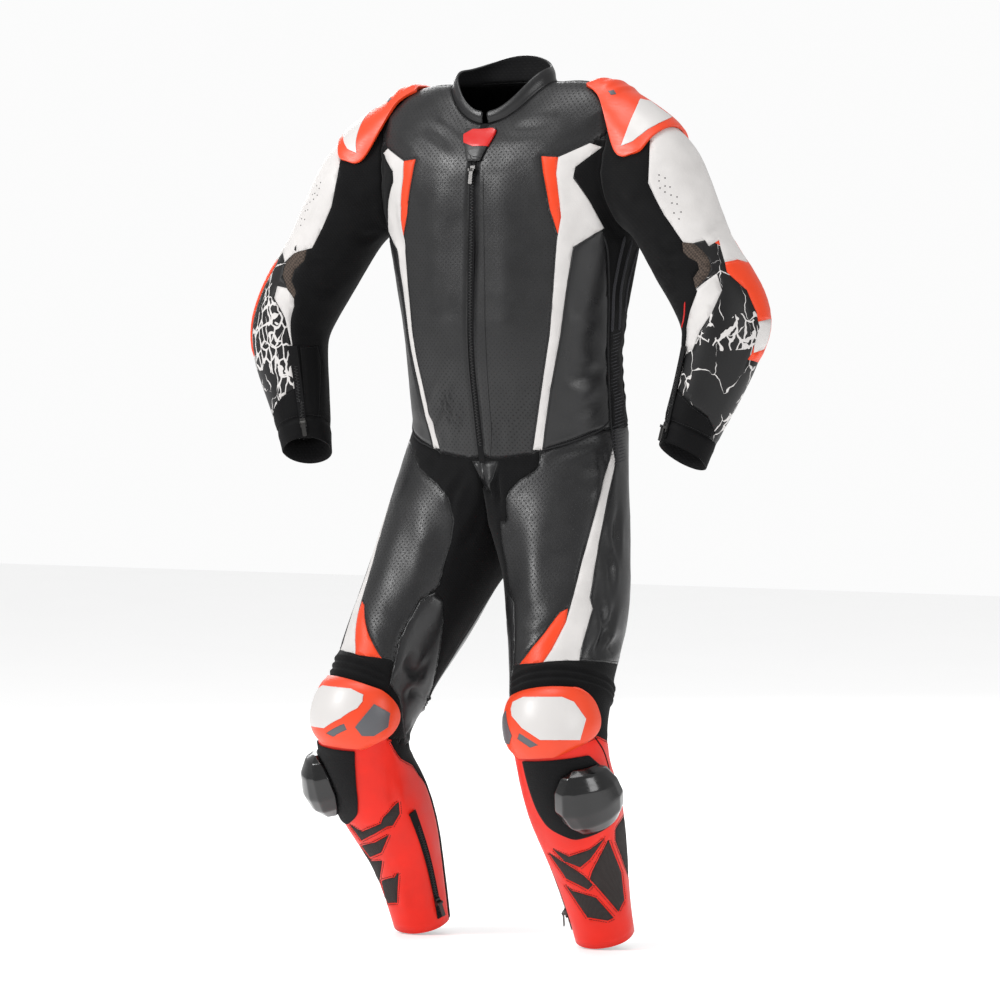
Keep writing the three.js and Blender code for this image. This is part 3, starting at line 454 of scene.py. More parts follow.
# The collar's lower edge meets the neckline
def sewCollar(bm, layer):
    def edgeOf(kinds):
        rim = [v for v in bm.verts if v.is_boundary]
        return [v for v in rim if all(panels[f[layer]][1] in kinds for f in v.link_faces)]

    neckline = edgeOf(("front", "back_yoke"))
    for vert in edgeOf(("collar",)):
        near = min(neckline, key=lambda other: (other.co - vert.co).length)
        if (near.co - vert.co).length < shellLook["neckSeam"]:
            vert.co = near.co
    bmesh.ops.remove_doubles(bm, verts=bm.verts, dist=shellLook["merge"])


# Where one panel's seam has points that its neighbour's lacks, the neighbour gets them too
def shareSeamPoints(bm):
    edges = [e for e in bm.edges if e.is_boundary]
    points = [v for v in bm.verts if v.is_boundary]
    for edge in edges:
        a, b = edge.verts
        along = b.co - a.co
        reach = max(shellLook["seam"], shellLook["sag"] * along.length)
        found = []
        for v in points:
            if v in (a, b) or (v.co - a.co).length > along.length:
                continue
            t = (v.co - a.co).dot(along) / along.length_squared
            if shellLook["ends"] < t < 1 - shellLook["ends"] and (v.co - a.co - along * t).length < reach:
                found.append((t, v))
        at, last = edge, a
        for t, v in sorted(found, key=lambda pair: pair[0]):
            start = (last.co - a.co).dot(along) / along.length_squared
            at, made = bmesh.utils.edge_split(at, last, (t - start) / (1 - start))
            made.co = v.co
            at = next(e for e in made.link_edges if e.other_vert(made) is b)
            last = made
    bmesh.ops.remove_doubles(bm, verts=bm.verts, dist=shellLook["merge"])


panels = []
for family, (limb, finish, slot, width, length) in families.items():
    panels += [(family + tag, family, limb, mirror) for tag, mirror in tagsOf(family, middlePanels)]

shell = bmesh.new()
panelLayer = shell.faces.layers.int.new("panel")
for index, (nodeName, family, limb, mirror) in enumerate(panels):
    count = len(shell.faces)
    shell.from_mesh(meshOf(outerSkin(nodeName, limb, mirror), nodeName))
    shell.faces.ensure_lookup_table()
    panelLayer = shell.faces.layers.int["panel"]
    for face in shell.faces[count:]:
        face[panelLayer] = index
bmesh.ops.remove_doubles(shell, verts=shell.verts, dist=shellLook["merge"])
sewCollar(shell, panelLayer)
shareSeamPoints(shell)
print("shell sewn:", len(shell.faces), "faces, open edges", sum(e.is_boundary for e in shell.edges))


def subdivided(mesh, levels, name="smooth"):
    obj = linked(name, mesh)
    modifier = obj.modifiers.new("subdivide", "SUBSURF")
    modifier.levels = modifier.render_levels = levels
    return applied(obj)


# Subdivision draws a surface in, so the coarse points move out by as much first
def fitted(bm, levels):
    for step in range(2):
        smooth = subdivided(meshOf(bm.copy(), "fit"), levels)
        tree = BVHTree.FromPolygons([v.co for v in smooth.vertices], [p.vertices for p in smooth.polygons])
        if step == 0:
            wanted = [v.co.copy() for v in bm.verts]
        for vert, goal in zip(bm.verts, wanted):
            near = tree.find_nearest(goal)[0]
            if near is not None and (goal - near).length < shellLook["drawn"]:
                vert.co += (goal - near)
        bpy.data.meshes.remove(smooth)
    return subdivided(meshOf(bm, "fitted"), levels)


smoothShell = fitted(shell, shellLook["levels"])
shell = bmesh.new()
shell.from_mesh(smoothShell)
panelLayer = shell.faces.layers.int["panel"]
bmesh.ops.recalc_face_normals(shell, faces=shell.faces)
shell.normal_update()
shell.verts.ensure_lookup_table()
print("shell smoothed:", len(shell.faces), "faces")

# Where two panels' points don't meet one to one a hem wanders: it is evened out and laid back on the skin
hems = {"families": {"knee_panel", "back_lower"}, "rounds": 70, "pull": 0.5, "rings": 3, "ringRounds": 8}


def calmHems(bm, layer):
    skin = BVHTree.FromBMesh(bm)
    chains = {}
    for edge in bm.edges:
        pair = {panels[face[layer]][1] for face in edge.link_faces}
        if len(pair) == 2 and pair & hems["families"]:
            for vert in edge.verts:
                chains.setdefault(vert, []).append(edge.other_vert(vert))
    hem = {vert: beside for vert, beside in chains.items() if len(beside) == 2}
    for turn in range(hems["rounds"]):
        goals = {v: v.co.lerp((n[0].co + n[1].co) / 2, hems["pull"]) for v, n in hem.items()}
        for vert, goal in goals.items():
            vert.co = skin.find_nearest(goal)[0]
    reached = set(chains)
    band = set()
    for ring in range(hems["rings"]):
        band |= {edge.other_vert(vert) for vert in reached | band for edge in vert.link_edges}
    band = {v for v in band - reached if not v.is_boundary}
    for turn in range(hems["ringRounds"]):
        goals = {}
        for vert in band:
            around = [edge.other_vert(vert).co for edge in vert.link_edges]
            goals[vert] = sum(around, Vector()) / len(around)
        for vert, goal in goals.items():
            vert.co = skin.find_nearest(goal)[0]


calmHems(shell, panelLayer)
shell.normal_update()
print("hems evened")

# What is cut beside the panels that have a node of their own: pieces let into their neighbours
letIn = {
    "gusset": ("leg", "black", "black_leather", 0.105, 0.24),
    "shin_insert": ("leg", "insert", "grey_aramid", 0.13, 0.16),
    "wrist_panel": ("sleeve", "cuff", "grey_cuff", 0.078, 0.15),
    "elbow_slider": ("sleeve", "whitePlastic", "white_leather", 0.052, 0.066),
    "crotch_insert": ("torso", "black", "black_leather", 0.045, 0.057),
}
families.update(letIn)
for family, (limb, *rest) in letIn.items():
    panels += [(family + tag, family, limb, mirror) for tag, mirror in tagsOf(family, ("crotch_insert",))]
panelNumber = {name: index for index, (name, *rest) in enumerate(panels)}


def flip(vector, mirror):
    return Vector((vector.x * mirror, vector.y, vector.z))


def insideOutline(spot, outline):
    odd = False
    for (ax, ay), (bx, by) in zip(outline, outline[1:] + outline[:1]):
        if (ay > spot.y) != (by > spot.y) and spot.x < (bx - ax) * (spot.y - ay) / (by - ay) + ax:
            odd = not odd
    return odd


def pixelsAway(spot, a, b):
    a, b = Vector(a), Vector(b)
    along = b - a
    t = max(0, min(1, (spot - a).dot(along) / along.length_squared))
    return (spot - a - along * t).length


cutting = {"margin": 9, "reach": 7, "snap": 0.0003}


# Cuts a surface along an outline that is seen from the camera, and gives the faces inside to another panel
def recut(bm, layer, sources, target, outline, mirror):
    eye = flip(frontAim[0], mirror)

    def spotOf(face):
        return toPixel(flip(face.calc_center_median(), mirror), frontAim)

    lowX, highX = min(x for x, y in outline), max(x for x, y in outline)
    lowY, highY = min(y for x, y in outline), max(y for x, y in outline)
    margin = cutting["margin"]
    bm.normal_update()
    near = []
    for face in bm.faces:
        if face[layer] not in sources or face.normal.dot(eye - face.verts[0].co) < 0:
            continue
        spot = spotOf(face)
        if lowX - margin < spot.x < highX + margin and lowY - margin < spot.y < highY + margin:
            near.append(face)
    rays = [pixelRay(x, y, frontAim) for x, y in outline]
    for i in range(len(outline)):
        a, b = outline[i], outline[(i + 1) % len(outline)]
        normal = flip(rays[i].cross(rays[(i + 1) % len(rays)]), mirror).normalized()
        close = [f for f in near if pixelsAway(spotOf(f), a, b) < cutting["reach"]]
        if not close:
            continue
        chosen = set(close)
        rest = [f for f in near if f not in chosen]
        parts = close + list({e for f in close for e in f.edges}) + list({v for f in close for v in f.verts})
        cut = bmesh.ops.bisect_plane(bm, geom=parts, dist=cutting["snap"], plane_co=eye, plane_no=normal)
        near = rest + [g for g in cut["geom"] if isinstance(g, bmesh.types.BMFace)]
    for face in near:
        if insideOutline(spotOf(face), outline):
            face[layer] = target


# Seams as they show in a picture 1000 wide. Each row: the outline's name, the side it is seen on (1 is the
# wearer's left; 2 or -2 is cut on that side alone, -3 on the other side alone), the panels that give way
# to it, the panel it becomes, its points.
seams = [
    ("side front", 1, ("front", "inlay", "chest_wedge"), "side_front", [
        (573, 247), (602, 225), (612, 236), (614, 409), (609, 430), (582, 438), (543, 452), (542, 448),
        (550, 390), (560, 337), (567, 283),
    ]),
    ("white inlay", 1, ("front", "side_front", "chest_wedge", "inlay"), "inlay", [
        (558, 157), (590, 143), (602, 147), (575, 167), (573, 178), (590, 202), (604, 228), (573, 247),
        (567, 283), (560, 337), (550, 390), (542, 450), (533, 450), (542, 387), (550, 333), (554, 280),
        (557, 240), (561, 217), (560, 207), (556, 173),
    ]),
    ("chest wedge", 1, ("front", "inlay"), "chest_wedge", [
        (541, 156), (558, 157), (556, 173), (560, 207), (561, 217), (558, 234), (550, 210), (543, 173),
    ]),
    ("thigh outer", 1, ("thigh_front", "thigh_outer"), "thigh_outer", [
        (613, 448), (615.5, 460), (608, 497), (598, 547), (590, 597), (592.5, 609), (581, 649),
        (576, 690), (650, 700), (650, 440),
    ]),
    ("thigh stripe", 1, ("thigh_front", "thigh_outer"), "thigh_stripe", [
        (613, 448), (615.5, 460), (608, 497), (598, 547), (590, 597), (592.5, 609), (581, 649),
        (576, 690), (530, 682), (537, 671), (552, 649), (566, 622), (574, 594), (581, 566), (597, 508),
        (608, 469),
    ]),
    ("thigh wedge", 1, ("thigh_front", "thigh_stripe"), "thigh_wedge", [
        (568, 608), (560, 612), (546, 630), (524, 658), (512, 674), (530, 682), (537, 671), (552, 649),
        (566, 622),
    ]),
    ("yoke", 2, ("thigh_front",), "inner_thigh", [
        (480, 440), (504, 456), (541, 444), (538, 466), (535, 470), (519, 480), (509, 490), (506, 499),
        (490, 500),
    ]),
    ("hip front", 2, ("inner_thigh",), "thigh_front", [
        (541, 436), (538, 466), (535, 470), (519, 480), (509, 490), (506, 499), (507, 560), (540, 560),
        (620, 436),
    ]),
    ("inner thigh", -2, ("thigh_front",), "inner_thigh", [
        (405, 430), (419, 467), (437, 483), (448, 496), (454, 520), (451, 545), (446, 559), (440, 586),
        (460, 600), (500, 560), (500, 430),
    ]),
    ("thigh front", -2, ("inner_thigh", "knee_panel"), "thigh_front", [
        (419, 467), (437, 483), (448, 496), (454, 520), (451, 545), (446, 559), (440, 586), (430, 594),
        (419, 599), (397, 652), (380, 660), (380, 500),
    ]),
    ("inner thigh low", -3, ("thigh_front",), "inner_thigh", [
        (454, 520), (451, 545), (446, 559), (440, 586), (460, 600), (500, 560), (500, 520),
    ]),
    ("thigh front low", -3, ("inner_thigh", "knee_panel"), "thigh_front", [
        (454, 520), (451, 545), (446, 559), (440, 586), (430, 594), (419, 599), (397, 652), (380, 660),
        (380, 520),
    ]),
    ("gusset", -1, ("thigh_front", "inner_thigh", "knee_panel", "calf"), "gusset", [
        (436, 592), (428, 595), (420, 600), (409, 620), (399, 640), (394, 664), (390, 684), (400, 700),
        (406, 745), (424, 716), (436, 676), (441, 650), (444, 622), (443, 600),
    ]),
    ("knee top", 1, ("thigh_front", "thigh_wedge", "thigh_stripe", "thigh_outer"), "knee_panel", [
        (495, 670), (512, 667), (530, 664), (548, 661), (566, 660), (585, 660), (602, 662), (618, 664),
        (632, 666), (632, 690), (495, 690),
    ]),
    ("knee top inside", -1, ("thigh_front", "thigh_wedge", "thigh_stripe"), "knee_panel", [
        (322, 651), (334, 651), (345, 653), (360, 655), (375, 657), (392, 660), (394, 672), (322, 668),
    ]),
    ("shin top", 1, ("knee_panel", "calf"), "shin", [
        (495, 746), (560, 748), (585, 741), (598, 736), (608, 741), (622, 750), (630, 790), (495, 790),
    ]),
    ("shin top inside", -1, ("knee_panel", "calf", "gusset", "inner_thigh"), "shin", [
        (365, 742), (384, 739), (392, 750), (400, 758), (413, 765), (424, 782), (428, 800), (400, 810),
        (365, 790),
    ]),
    (
        "crotch insert", 1, ("inner_thigh_left", "inner_thigh_right", "front_left", "front_right"),
        "crotch_insert", [(472, 461), (498, 461), (489, 492), (485, 490)],
    ),
    ("under the arm", 1, ("side_front",), "side_stretch", [
        (560, 140), (574, 160), (573, 175), (586, 195), (601, 225), (606, 244), (625, 244), (625, 140),
    ]),
    ("right shoulder stretch", -2, ("sleeve_upper",), "sleeve_inner", [
        (345, 165), (350, 140), (368, 118), (400, 96), (412, 96), (412, 200), (345, 200),
    ]),
    ("side stretch", 1, ("side_front",), "side_stretch", [
        (606, 244), (609, 300), (608, 350), (610, 410), (612, 445), (650, 445), (650, 230), (612, 234),
    ]),
    ("sleeve stretch", 1, ("sleeve_upper",), "sleeve_inner", [
        (598, 130), (650, 138), (648, 183), (655, 198), (663, 213), (683, 242), (683, 256), (660, 320),
        (598, 260),
    ]),
    ("sleeve white", -2, ("sleeve_inner",), "sleeve_upper", [
        (318, 148), (342, 148), (338, 170), (334, 191), (331, 207), (322, 228), (312, 248), (296, 252),
        (296, 200),
    ]),
    ("elbow front", 2, ("elbow", "elbow_patch"), "forearm", [
        (680, 225), (722, 246), (727, 272), (747, 290), (757, 313), (760, 327), (752, 354), (740, 372),
        (680, 372),
    ]),
    ("elbow front right", -2, ("elbow", "elbow_patch"), "forearm", [
        (280, 250), (272, 275), (262, 300), (254, 325), (256, 350), (310, 350), (310, 250),
    ]),
    ("white above elbow", 2, ("elbow", "elbow_patch", "forearm"), "sleeve_upper", [
        (683, 225), (750, 225), (748, 262), (738, 259), (725, 262), (719, 240), (709, 246), (705, 240),
        (693, 243), (683, 243),
    ]),
    ("white above right elbow", -2, ("elbow", "forearm"), "sleeve_upper", [
        (262, 225), (312, 225), (306, 250), (294, 253), (284, 262), (282, 252), (272, 266), (262, 264),
    ]),
    ("stretch by the patch", 2, ("forearm",), "sleeve_inner", [
        (655, 228), (676, 236), (683, 242), (683, 252), (688, 257), (697, 262), (699, 269), (693, 278),
        (695, 288), (697, 291), (690, 310), (684, 335), (680, 352), (655, 345), (650, 300),
    ]),
    ("elbow patch", 2, ("forearm", "sleeve_upper", "sleeve_inner", "elbow"), "elbow_patch", [
        (682, 242), (693, 243), (702, 250), (708, 257), (711, 267), (708, 275), (701, 283), (695, 288),
        (693, 278), (699, 269), (697, 262), (688, 257), (683, 252),
    ]),
    ("right elbow patch", -2, ("forearm", "sleeve_upper", "sleeve_inner", "elbow"), "elbow_patch", [
        (306, 250), (294, 253), (285, 263), (282, 275), (287, 288), (294, 299), (296, 292), (291, 281),
        (294, 270), (304, 261),
    ]),
    ("white under the patch", 2, ("forearm",), "sleeve_upper", [
        (696, 289), (703, 283), (717, 273), (722, 290), (712, 312), (700, 330), (692, 350), (681, 350),
        (688, 315),
    ]),
    ("white under right patch", -2, ("forearm",), "sleeve_upper", [
        (277, 286), (286, 288), (295, 300), (304, 325), (307, 348), (292, 348), (285, 318), (274, 298),
    ]),
    ("stretch by the right patch", -2, ("forearm",), "sleeve_inner", [
        (306, 250), (304, 261), (294, 270), (291, 281), (296, 292), (304, 325), (308, 346), (330, 346),
        (330, 250),
    ]),
    ("elbow slider", 1, ("elbow",), "elbow_slider", [
        (757, 322), (775, 318), (775, 345), (764, 350), (754, 353),
    ]),
    ("wrist panel", -1, ("forearm", "sleeve_inner"), "wrist_panel", [
        (299, 347), (318, 345), (322, 360), (320, 440), (268, 440), (277, 430), (292, 412), (303, 395),
    ]),
    ("wrist edge", 1, ("forearm",), "wrist_panel", [
        (660, 345), (672, 345), (673, 375), (677, 390), (692, 405), (708, 417), (716, 434), (700, 445),
        (655, 440),
    ]),
    ("insert one", -2, ("shin",), "shin_insert", [
        (399, 802), (400, 814), (393, 826), (387, 827), (375, 834), (361, 841), (349, 824), (362, 832),
        (381, 824), (383, 818),
    ]),
    ("insert two", -2, ("shin",), "shin_insert", [
        (389, 835), (381, 853), (369, 858), (361, 846), (375, 843),
    ]),
    ("insert three", -2, ("shin",), "shin_insert", [(382, 861), (378, 888), (366, 862)]),
    ("insert four", 2, ("shin",), "shin_insert", [
        (606, 838), (590, 860), (580, 868), (564, 862), (552, 849), (569, 857), (590, 850),
    ]),
    ("insert five", 2, ("shin",), "shin_insert", [
        (548, 853), (584, 876), (593, 885), (588, 890), (566, 879),
    ]),
    ("insert six", 1, ("shin",), "shin_insert", [
        (565, 885), (572, 891), (596, 898), (614, 918), (608, 921), (587, 918),
    ]),
    ("insert seven", 1, ("shin",), "shin_insert", [
        (609, 840), (622, 873), (625, 900), (619, 912), (590, 879), (592, 872),
    ]),
    ("insert eight", 1, ("shin",), "shin_insert", [
        (616, 829), (625, 815), (632, 856), (630, 880), (616, 841),
    ]),
]


def numbersOf(names, tag):
    return {panelNumber.get(name, panelNumber.get(name + tag)) for name in names}


tagOf = {1: "_left", -1: "_right"}
# These panels are given to a neighbour first, and cut out of it again by their outlines
given = {"inlay": "front", "chest_wedge": "front", "thigh_wedge": "thigh_front",
         "thigh_stripe": "thigh_front", "elbow_patch": "forearm"}
for tag in tagOf.values():
    swap = {panelNumber[old + tag]: panelNumber[new + tag] for old, new in given.items()}
    for face in shell.faces:
        face[panelLayer] = swap.get(face[panelLayer], face[panelLayer])
for title, side, sources, target, outline in seams:
    once = {2: (1,), 3: (-1,)}.get(abs(side), (1,) if target == "crotch_insert" else (1, -1))
    for mirror in once:
        tag = tagOf[mirror * (1 if side > 0 else -1)]
        goal = panelNumber.get(target, panelNumber.get(target + tag))
        recut(shell, panelLayer, numbersOf(sources, tag), goal, outline, mirror)
bmesh.ops.remove_doubles(shell, verts=shell.verts, dist=cutting["snap"])
print("seams cut:", len(shell.faces), "faces")

# Creases: soft troughs with a low roll beside them. Front ones are placed as they show in a picture 1000
# wide, rear ones by how far right and up they are, in metres. Widths and depths are in millimetres.
frontCreases = [
    ([(428, 438), (440, 405), (455, 368)], 8, 2.2), ([(440, 448), (449, 415), (462, 385)], 6, 1.7),
    ([(454, 452), (460, 425), (466, 398)], 5, 1.3), ([(497, 455), (500, 425), (513, 392)], 7, 2.0),
    ([(510, 452), (519, 420), (535, 398)], 7, 1.7), ([(522, 307), (545, 303), (563, 309)], 6, 1.3),
    ([(480, 300), (500, 309), (520, 306)], 7, 0.9), ([(430, 300), (445, 308), (462, 304)], 7, 1.0),
    ([(566, 300), (580, 312), (602, 316)], 8, 1.5), ([(560, 370), (580, 378), (604, 372)], 9, 1.9),
    ([(556, 405), (575, 412), (600, 402)], 7, 1.4), ([(393, 200), (398, 230), (404, 250)], 8, 1.5),
    ([(600, 200), (612, 228), (622, 240)], 8, 2.0), ([(500, 130), (530, 128), (560, 120)], 12, 1.0),
    ([(420, 120), (440, 135), (455, 150)], 10, 0.9), ([(548, 456), (570, 450), (600, 440)], 6, 1.5),
    ([(600, 440), (606, 470), (604, 500)], 7, 1.6), ([(565, 470), (585, 480), (600, 476)], 7, 1.3),
    ([(500, 463), (496, 482), (501, 505)], 5, 3.0), ([(478, 468), (486, 488), (498, 500)], 5, 1.6),
    ([(470, 470), (455, 490), (450, 510)], 7, 1.6), ([(484, 500), (476, 525), (462, 545)], 8, 1.9),
    ([(597, 541), (610, 563), (612, 590)], 6, 2.2),
    ([(593, 596), (602, 610), (604, 632), (594, 655)], 6, 2.4),
    ([(619, 597), (608, 630), (598, 652)], 6, 1.9), ([(622, 500), (616, 530), (618, 560)], 7, 1.7),
    ([(590, 660), (605, 650), (622, 640)], 7, 1.7), ([(512, 600), (530, 612), (545, 606)], 9, 1.0),
    ([(516, 640), (535, 636), (548, 624)], 8, 1.0), ([(446, 545), (430, 555), (415, 552)], 9, 1.2),
    ([(380, 600), (400, 612), (415, 608)], 9, 1.1), ([(405, 655), (415, 672), (428, 668)], 8, 2.0),
    ([(402, 700), (415, 690), (430, 696)], 7, 2.0), ([(404, 740), (415, 725), (424, 720)], 6, 2.2),
    ([(400, 770), (392, 790), (395, 812)], 8, 1.1), ([(420, 860), (412, 890), (420, 915)], 9, 1.0),
    ([(530, 840), (545, 870), (552, 905)], 10, 0.9), ([(655, 240), (668, 252), (684, 250)], 7, 2.0),
    ([(648, 262), (664, 272), (682, 268)], 6, 1.8), ([(652, 285), (668, 290), (684, 286)], 6, 1.7),
    ([(690, 232), (708, 233), (724, 216)], 7, 1.3), ([(300, 250), (318, 262), (338, 258)], 7, 2.0),
    ([(312, 285), (325, 292), (336, 286)], 6, 1.6), ([(345, 190), (360, 205), (384, 200)], 9, 1.5),
    ([(352, 230), (365, 238), (378, 232)], 7, 1.3), ([(612, 190), (628, 205), (645, 203)], 9, 1.5),
    ([(498, 160), (502, 230), (505, 300), (503, 380)], 22, -1.6),
    ([(440, 160), (436, 230), (436, 310)], 22, -1.2), ([(535, 500), (532, 560), (535, 620)], 20, -1.2),
    ([(418, 500), (425, 550), (412, 600)], 18, -1.2),
]
rearCreases = [
    ([(-0.13, -0.12), (-0.06, -0.14), (0.01, -0.135)], 11, 1.3),
    ([(0.04, -0.15), (0.1, -0.165), (0.15, -0.15)], 10, 1.5),
    ([(-0.12, -0.39), (-0.03, -0.408), (0.06, -0.398)], 9, 2.0),
    ([(0.12, -0.455), (0.05, -0.47), (-0.02, -0.462)], 8, 1.8),
    ([(0.02, -0.53), (0.06, -0.565), (0.125, -0.57)], 9, 2.6),
    ([(-0.02, -0.54), (-0.07, -0.58), (-0.13, -0.575)], 9, 2.3),
    ([(0.05, -0.6), (0.1, -0.625), (0.17, -0.61)], 8, 2.0),
    ([(-0.06, -0.61), (-0.11, -0.64), (-0.175, -0.622)], 8, 2.2),
    ([(0.06, -0.7), (0.11, -0.715), (0.17, -0.7)], 10, 1.4),
    ([(-0.07, -0.735), (-0.13, -0.75), (-0.18, -0.73)], 10, 1.5),
    ([(0.09, -0.885), (0.15, -0.9), (0.21, -0.885)], 7, 2.5),
    ([(0.1, -0.925), (0.16, -0.935), (0.21, -0.92)], 7, 2.6),
    ([(0.11, -0.965), (0.16, -0.972), (0.22, -0.96)], 7, 2.0),
    ([(-0.1, -0.895), (-0.16, -0.91), (-0.21, -0.9)], 7, 2.6),
    ([(-0.11, -0.94), (-0.16, -0.948), (-0.22, -0.935)], 7, 2.4),
    ([(-0.12, -0.98), (-0.17, -0.985), (-0.21, -0.975)], 7, 1.8),
    ([(0.13, -1.08), (0.17, -1.09), (0.2, -1.075)], 8, 1.3),
    ([(-0.13, -1.1), (-0.17, -1.11), (-0.2, -1.1)], 8, 1.4),
    ([(0.33, -0.3), (0.36, -0.31), (0.4, -0.3)], 6, 1.8),
    ([(-0.33, -0.31), (-0.36, -0.318), (-0.4, -0.31)], 6, 1.9),
    ([(0.3, -0.2), (0.33, -0.21), (0.35, -0.195)], 7, 1.3),
    ([(-0.29, -0.21), (-0.32, -0.22), (-0.35, -0.21)], 7, 1.4),
]
relief = {"depth": 2.5, "roll": 0.45, "rollAt": 1.9, "fade": 0.7, "noise": 0.0009, "noiseScale": 14,
          "finer": 3.1, "finerShare": 0.5, "steps": 5, "groove": 0.0009, "grooveWidth": 0.0028,
          "puff": 0.0005, "puffAt": 0.009, "puffWidth": 0.005, "behind": 2.0, "jump": 0.05, "reach": 4,
          "seamStep": 0.0015}


def surfaceTree(bm):
    return BVHTree.FromBMesh(bm)


def castPixel(tree, px, py):
    return tree.ray_cast(frontAim[0], pixelRay(px, py, frontAim))[0]


def castRear(tree, x, z):
    return tree.ray_cast(Vector((x, relief["behind"], z)), Vector((0, -1, 0)))[0]


# A smooth curve through a few points
def curved(points, steps):
    points = [Vector(p) for p in points]
    full = [points[0] * 2 - points[1], *points, points[-1] * 2 - points[-2]]
    made = []
    for a, b, c, d in zip(full, full[1:], full[2:], full[3:]):
        for i in range(steps):
            t = i / steps
            made.append((b * 2 + (c - a) * t + (a * 2 - b * 5 + c * 4 - d) * t * t
                         + (b * 3 - a - c * 3 + d) * t ** 3) * 0.5)
    return made + [points[-1]]


def creasePaths(tree):
    paths = []
    for rows, cast in ((frontCreases, castPixel), (rearCreases, castRear)):
        for points, width, depth in rows:
            hits = [cast(tree, *spot) for spot in curved(points, relief["steps"])]
            hits = [hit for hit in hits if hit is not None]
            near = [b for a, b in zip(hits, hits[1:]) if (b - a).length < relief["jump"]]
            if len(near) > 2:
                paths.append((np.array(near), width / 1000, depth * relief["depth"] / 1000))
    return paths


def creaseField(spots, paths):
    total = np.zeros(len(spots))
    for path, width, depth in paths:
        reach = width * relief["reach"]
        low, high = path.min(0) - reach, path.max(0) + reach
        chosen = np.nonzero(np.all((spots > low) & (spots < high), axis=1))[0]
        local = spots[chosen]
        best = np.full(len(local), 9.0)
        share = np.zeros(len(local))
        pieces = np.linalg.norm(path[1:] - path[:-1], axis=1)
        starts = np.concatenate([[0], np.cumsum(pieces)])
        for k, (a, b) in enumerate(zip(path, path[1:])):
            along = b - a
            t = np.clip((local - a) @ along / max(along @ along, 1e-9), 0, 1)
            away = np.linalg.norm(local - a - t[:, None] * along, axis=1)
            closer = away < best
            best[closer] = away[closer]
            share[closer] = (starts[k] + t[closer] * pieces[k]) / starts[-1]
        across = best / width
        shape = np.exp(-across ** 2) - relief["roll"] * np.exp(-(across - relief["rollAt"]) ** 2)
        total[chosen] -= depth * shape * np.sin(np.pi * np.clip(share, 0, 1)) ** relief["fade"]
    return total


def borderEdges(bm, layer):
    inner = [e for e in bm.edges if len(e.link_faces) == 2]
    return [e for e in inner if e.link_faces[0][layer] != e.link_faces[1][layer]]


shell.verts.ensure_lookup_table()
shell.normal_update()
spots = np.array([v.co[:] for v in shell.verts])
lift = creaseField(spots, creasePaths(surfaceTree(shell)))
seamTree = KDTree(len(shell.verts) * 4)
count = 0
for edge in borderEdges(shell, panelLayer):
    steps = max(1, int(edge.calc_length() / relief["seamStep"]))
    for i in range(steps):
        seamTree.insert(edge.verts[0].co.lerp(edge.verts[1].co, i / steps), count)
        count += 1
seamTree.balance()
for vert in shell.verts:
    away = seamTree.find(vert.co)[2]
    groove = relief["groove"] * math.exp(-(away / relief["grooveWidth"]) ** 2)
    puff = relief["puff"] * math.exp(-((away - relief["puffAt"]) / relief["puffWidth"]) ** 2)
    soft = relief["noise"] * noise.noise(vert.co * relief["noiseScale"])
    finer = noise.noise(vert.co * relief["noiseScale"] * relief["finer"])
    soft += relief["noise"] * relief["finerShare"] * finer
    vert.co += vert.normal * (lift[vert.index] - groove + puff + soft)
shell.normal_update()
shellTree = surfaceTree(shell)
print("creases and seams pressed in")


def setFinish(piece, *names):
    piece.data.materials.clear()
    for name in names:
        piece.data.materials.append(finishes[name])


def smoothed(piece):
    for polygon in piece.data.polygons:
        polygon.use_smooth = True


def solid(piece, thickness, inner=0):
    modifier = piece.modifiers.new("wall", "SOLIDIFY")
    modifier.thickness = thickness
    modifier.offset = -1
    modifier.material_offset = inner


def rounded(piece, width):
    modifier = piece.modifiers.new("rim", "BEVEL")
    modifier.width = width
    modifier.segments = hardLook["rimSegments"]
    modifier.limit_method = "ANGLE"
    modifier.angle_limit = math.radians(hardLook["rimAngle"])


neighbours = {
    "front": "inlay", "chest_wedge": "inlay", "inlay": "front", "side_front": "inlay",
    "side_stretch": "side_front", "back_yoke": "sleeve_upper_left", "back_lower": "back_yoke",
    "collar": "back_yoke", "sleeve_upper": "sleeve_inner", "sleeve_inner": "sleeve_upper",
    "elbow_patch": "forearm", "elbow": "forearm", "forearm": "sleeve_inner", "cuff": "forearm",
    "inner_thigh": "thigh_front", "thigh_front": "thigh_stripe", "thigh_wedge": "thigh_front",
    "thigh_stripe": "thigh_outer", "thigh_outer": "thigh_stripe", "knee_panel": "thigh_front",
    "shin": "calf", "calf": "shin", "gusset": "inner_thigh", "shin_insert": "shin",
    "crotch_insert": "inner_thigh_left", "wrist_panel": "forearm", "elbow_slider": "elbow",
}


# One piece of cloth or leather from the sewn shell, with its wall inwards and a dark back
def sewnPanel(index, name, family, tag):
    bm = shell.copy()
    layer = bm.faces.layers.int["panel"]
    bmesh.ops.delete(bm, geom=[f for f in bm.faces if f[layer] != index], context="FACES")
    area = sum(f.calc_area() for f in bm.faces)
    limb, finish, slot, width, length = families[family]
    piece = linked(name + "_panel", meshOf(bm, name))
    setFinish(piece, finish, "lining")
    smoothed(piece)
    solid(piece, shellLook["collarWall" if family == "collar" else "wall"], inner=1)
    if name in nodes:
        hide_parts(name)
    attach(piece, "suit")
    beside = neighbours[family]
    beside = beside if beside in panelNumber else beside + (tag or "_left")
    beside + "_panel"


for index, (name, family, limb, mirror) in enumerate(panels):
    sewnPanel(index, name, family, name[len(family):])
print("panels made")

# Hard and padded pieces that lie on the suit

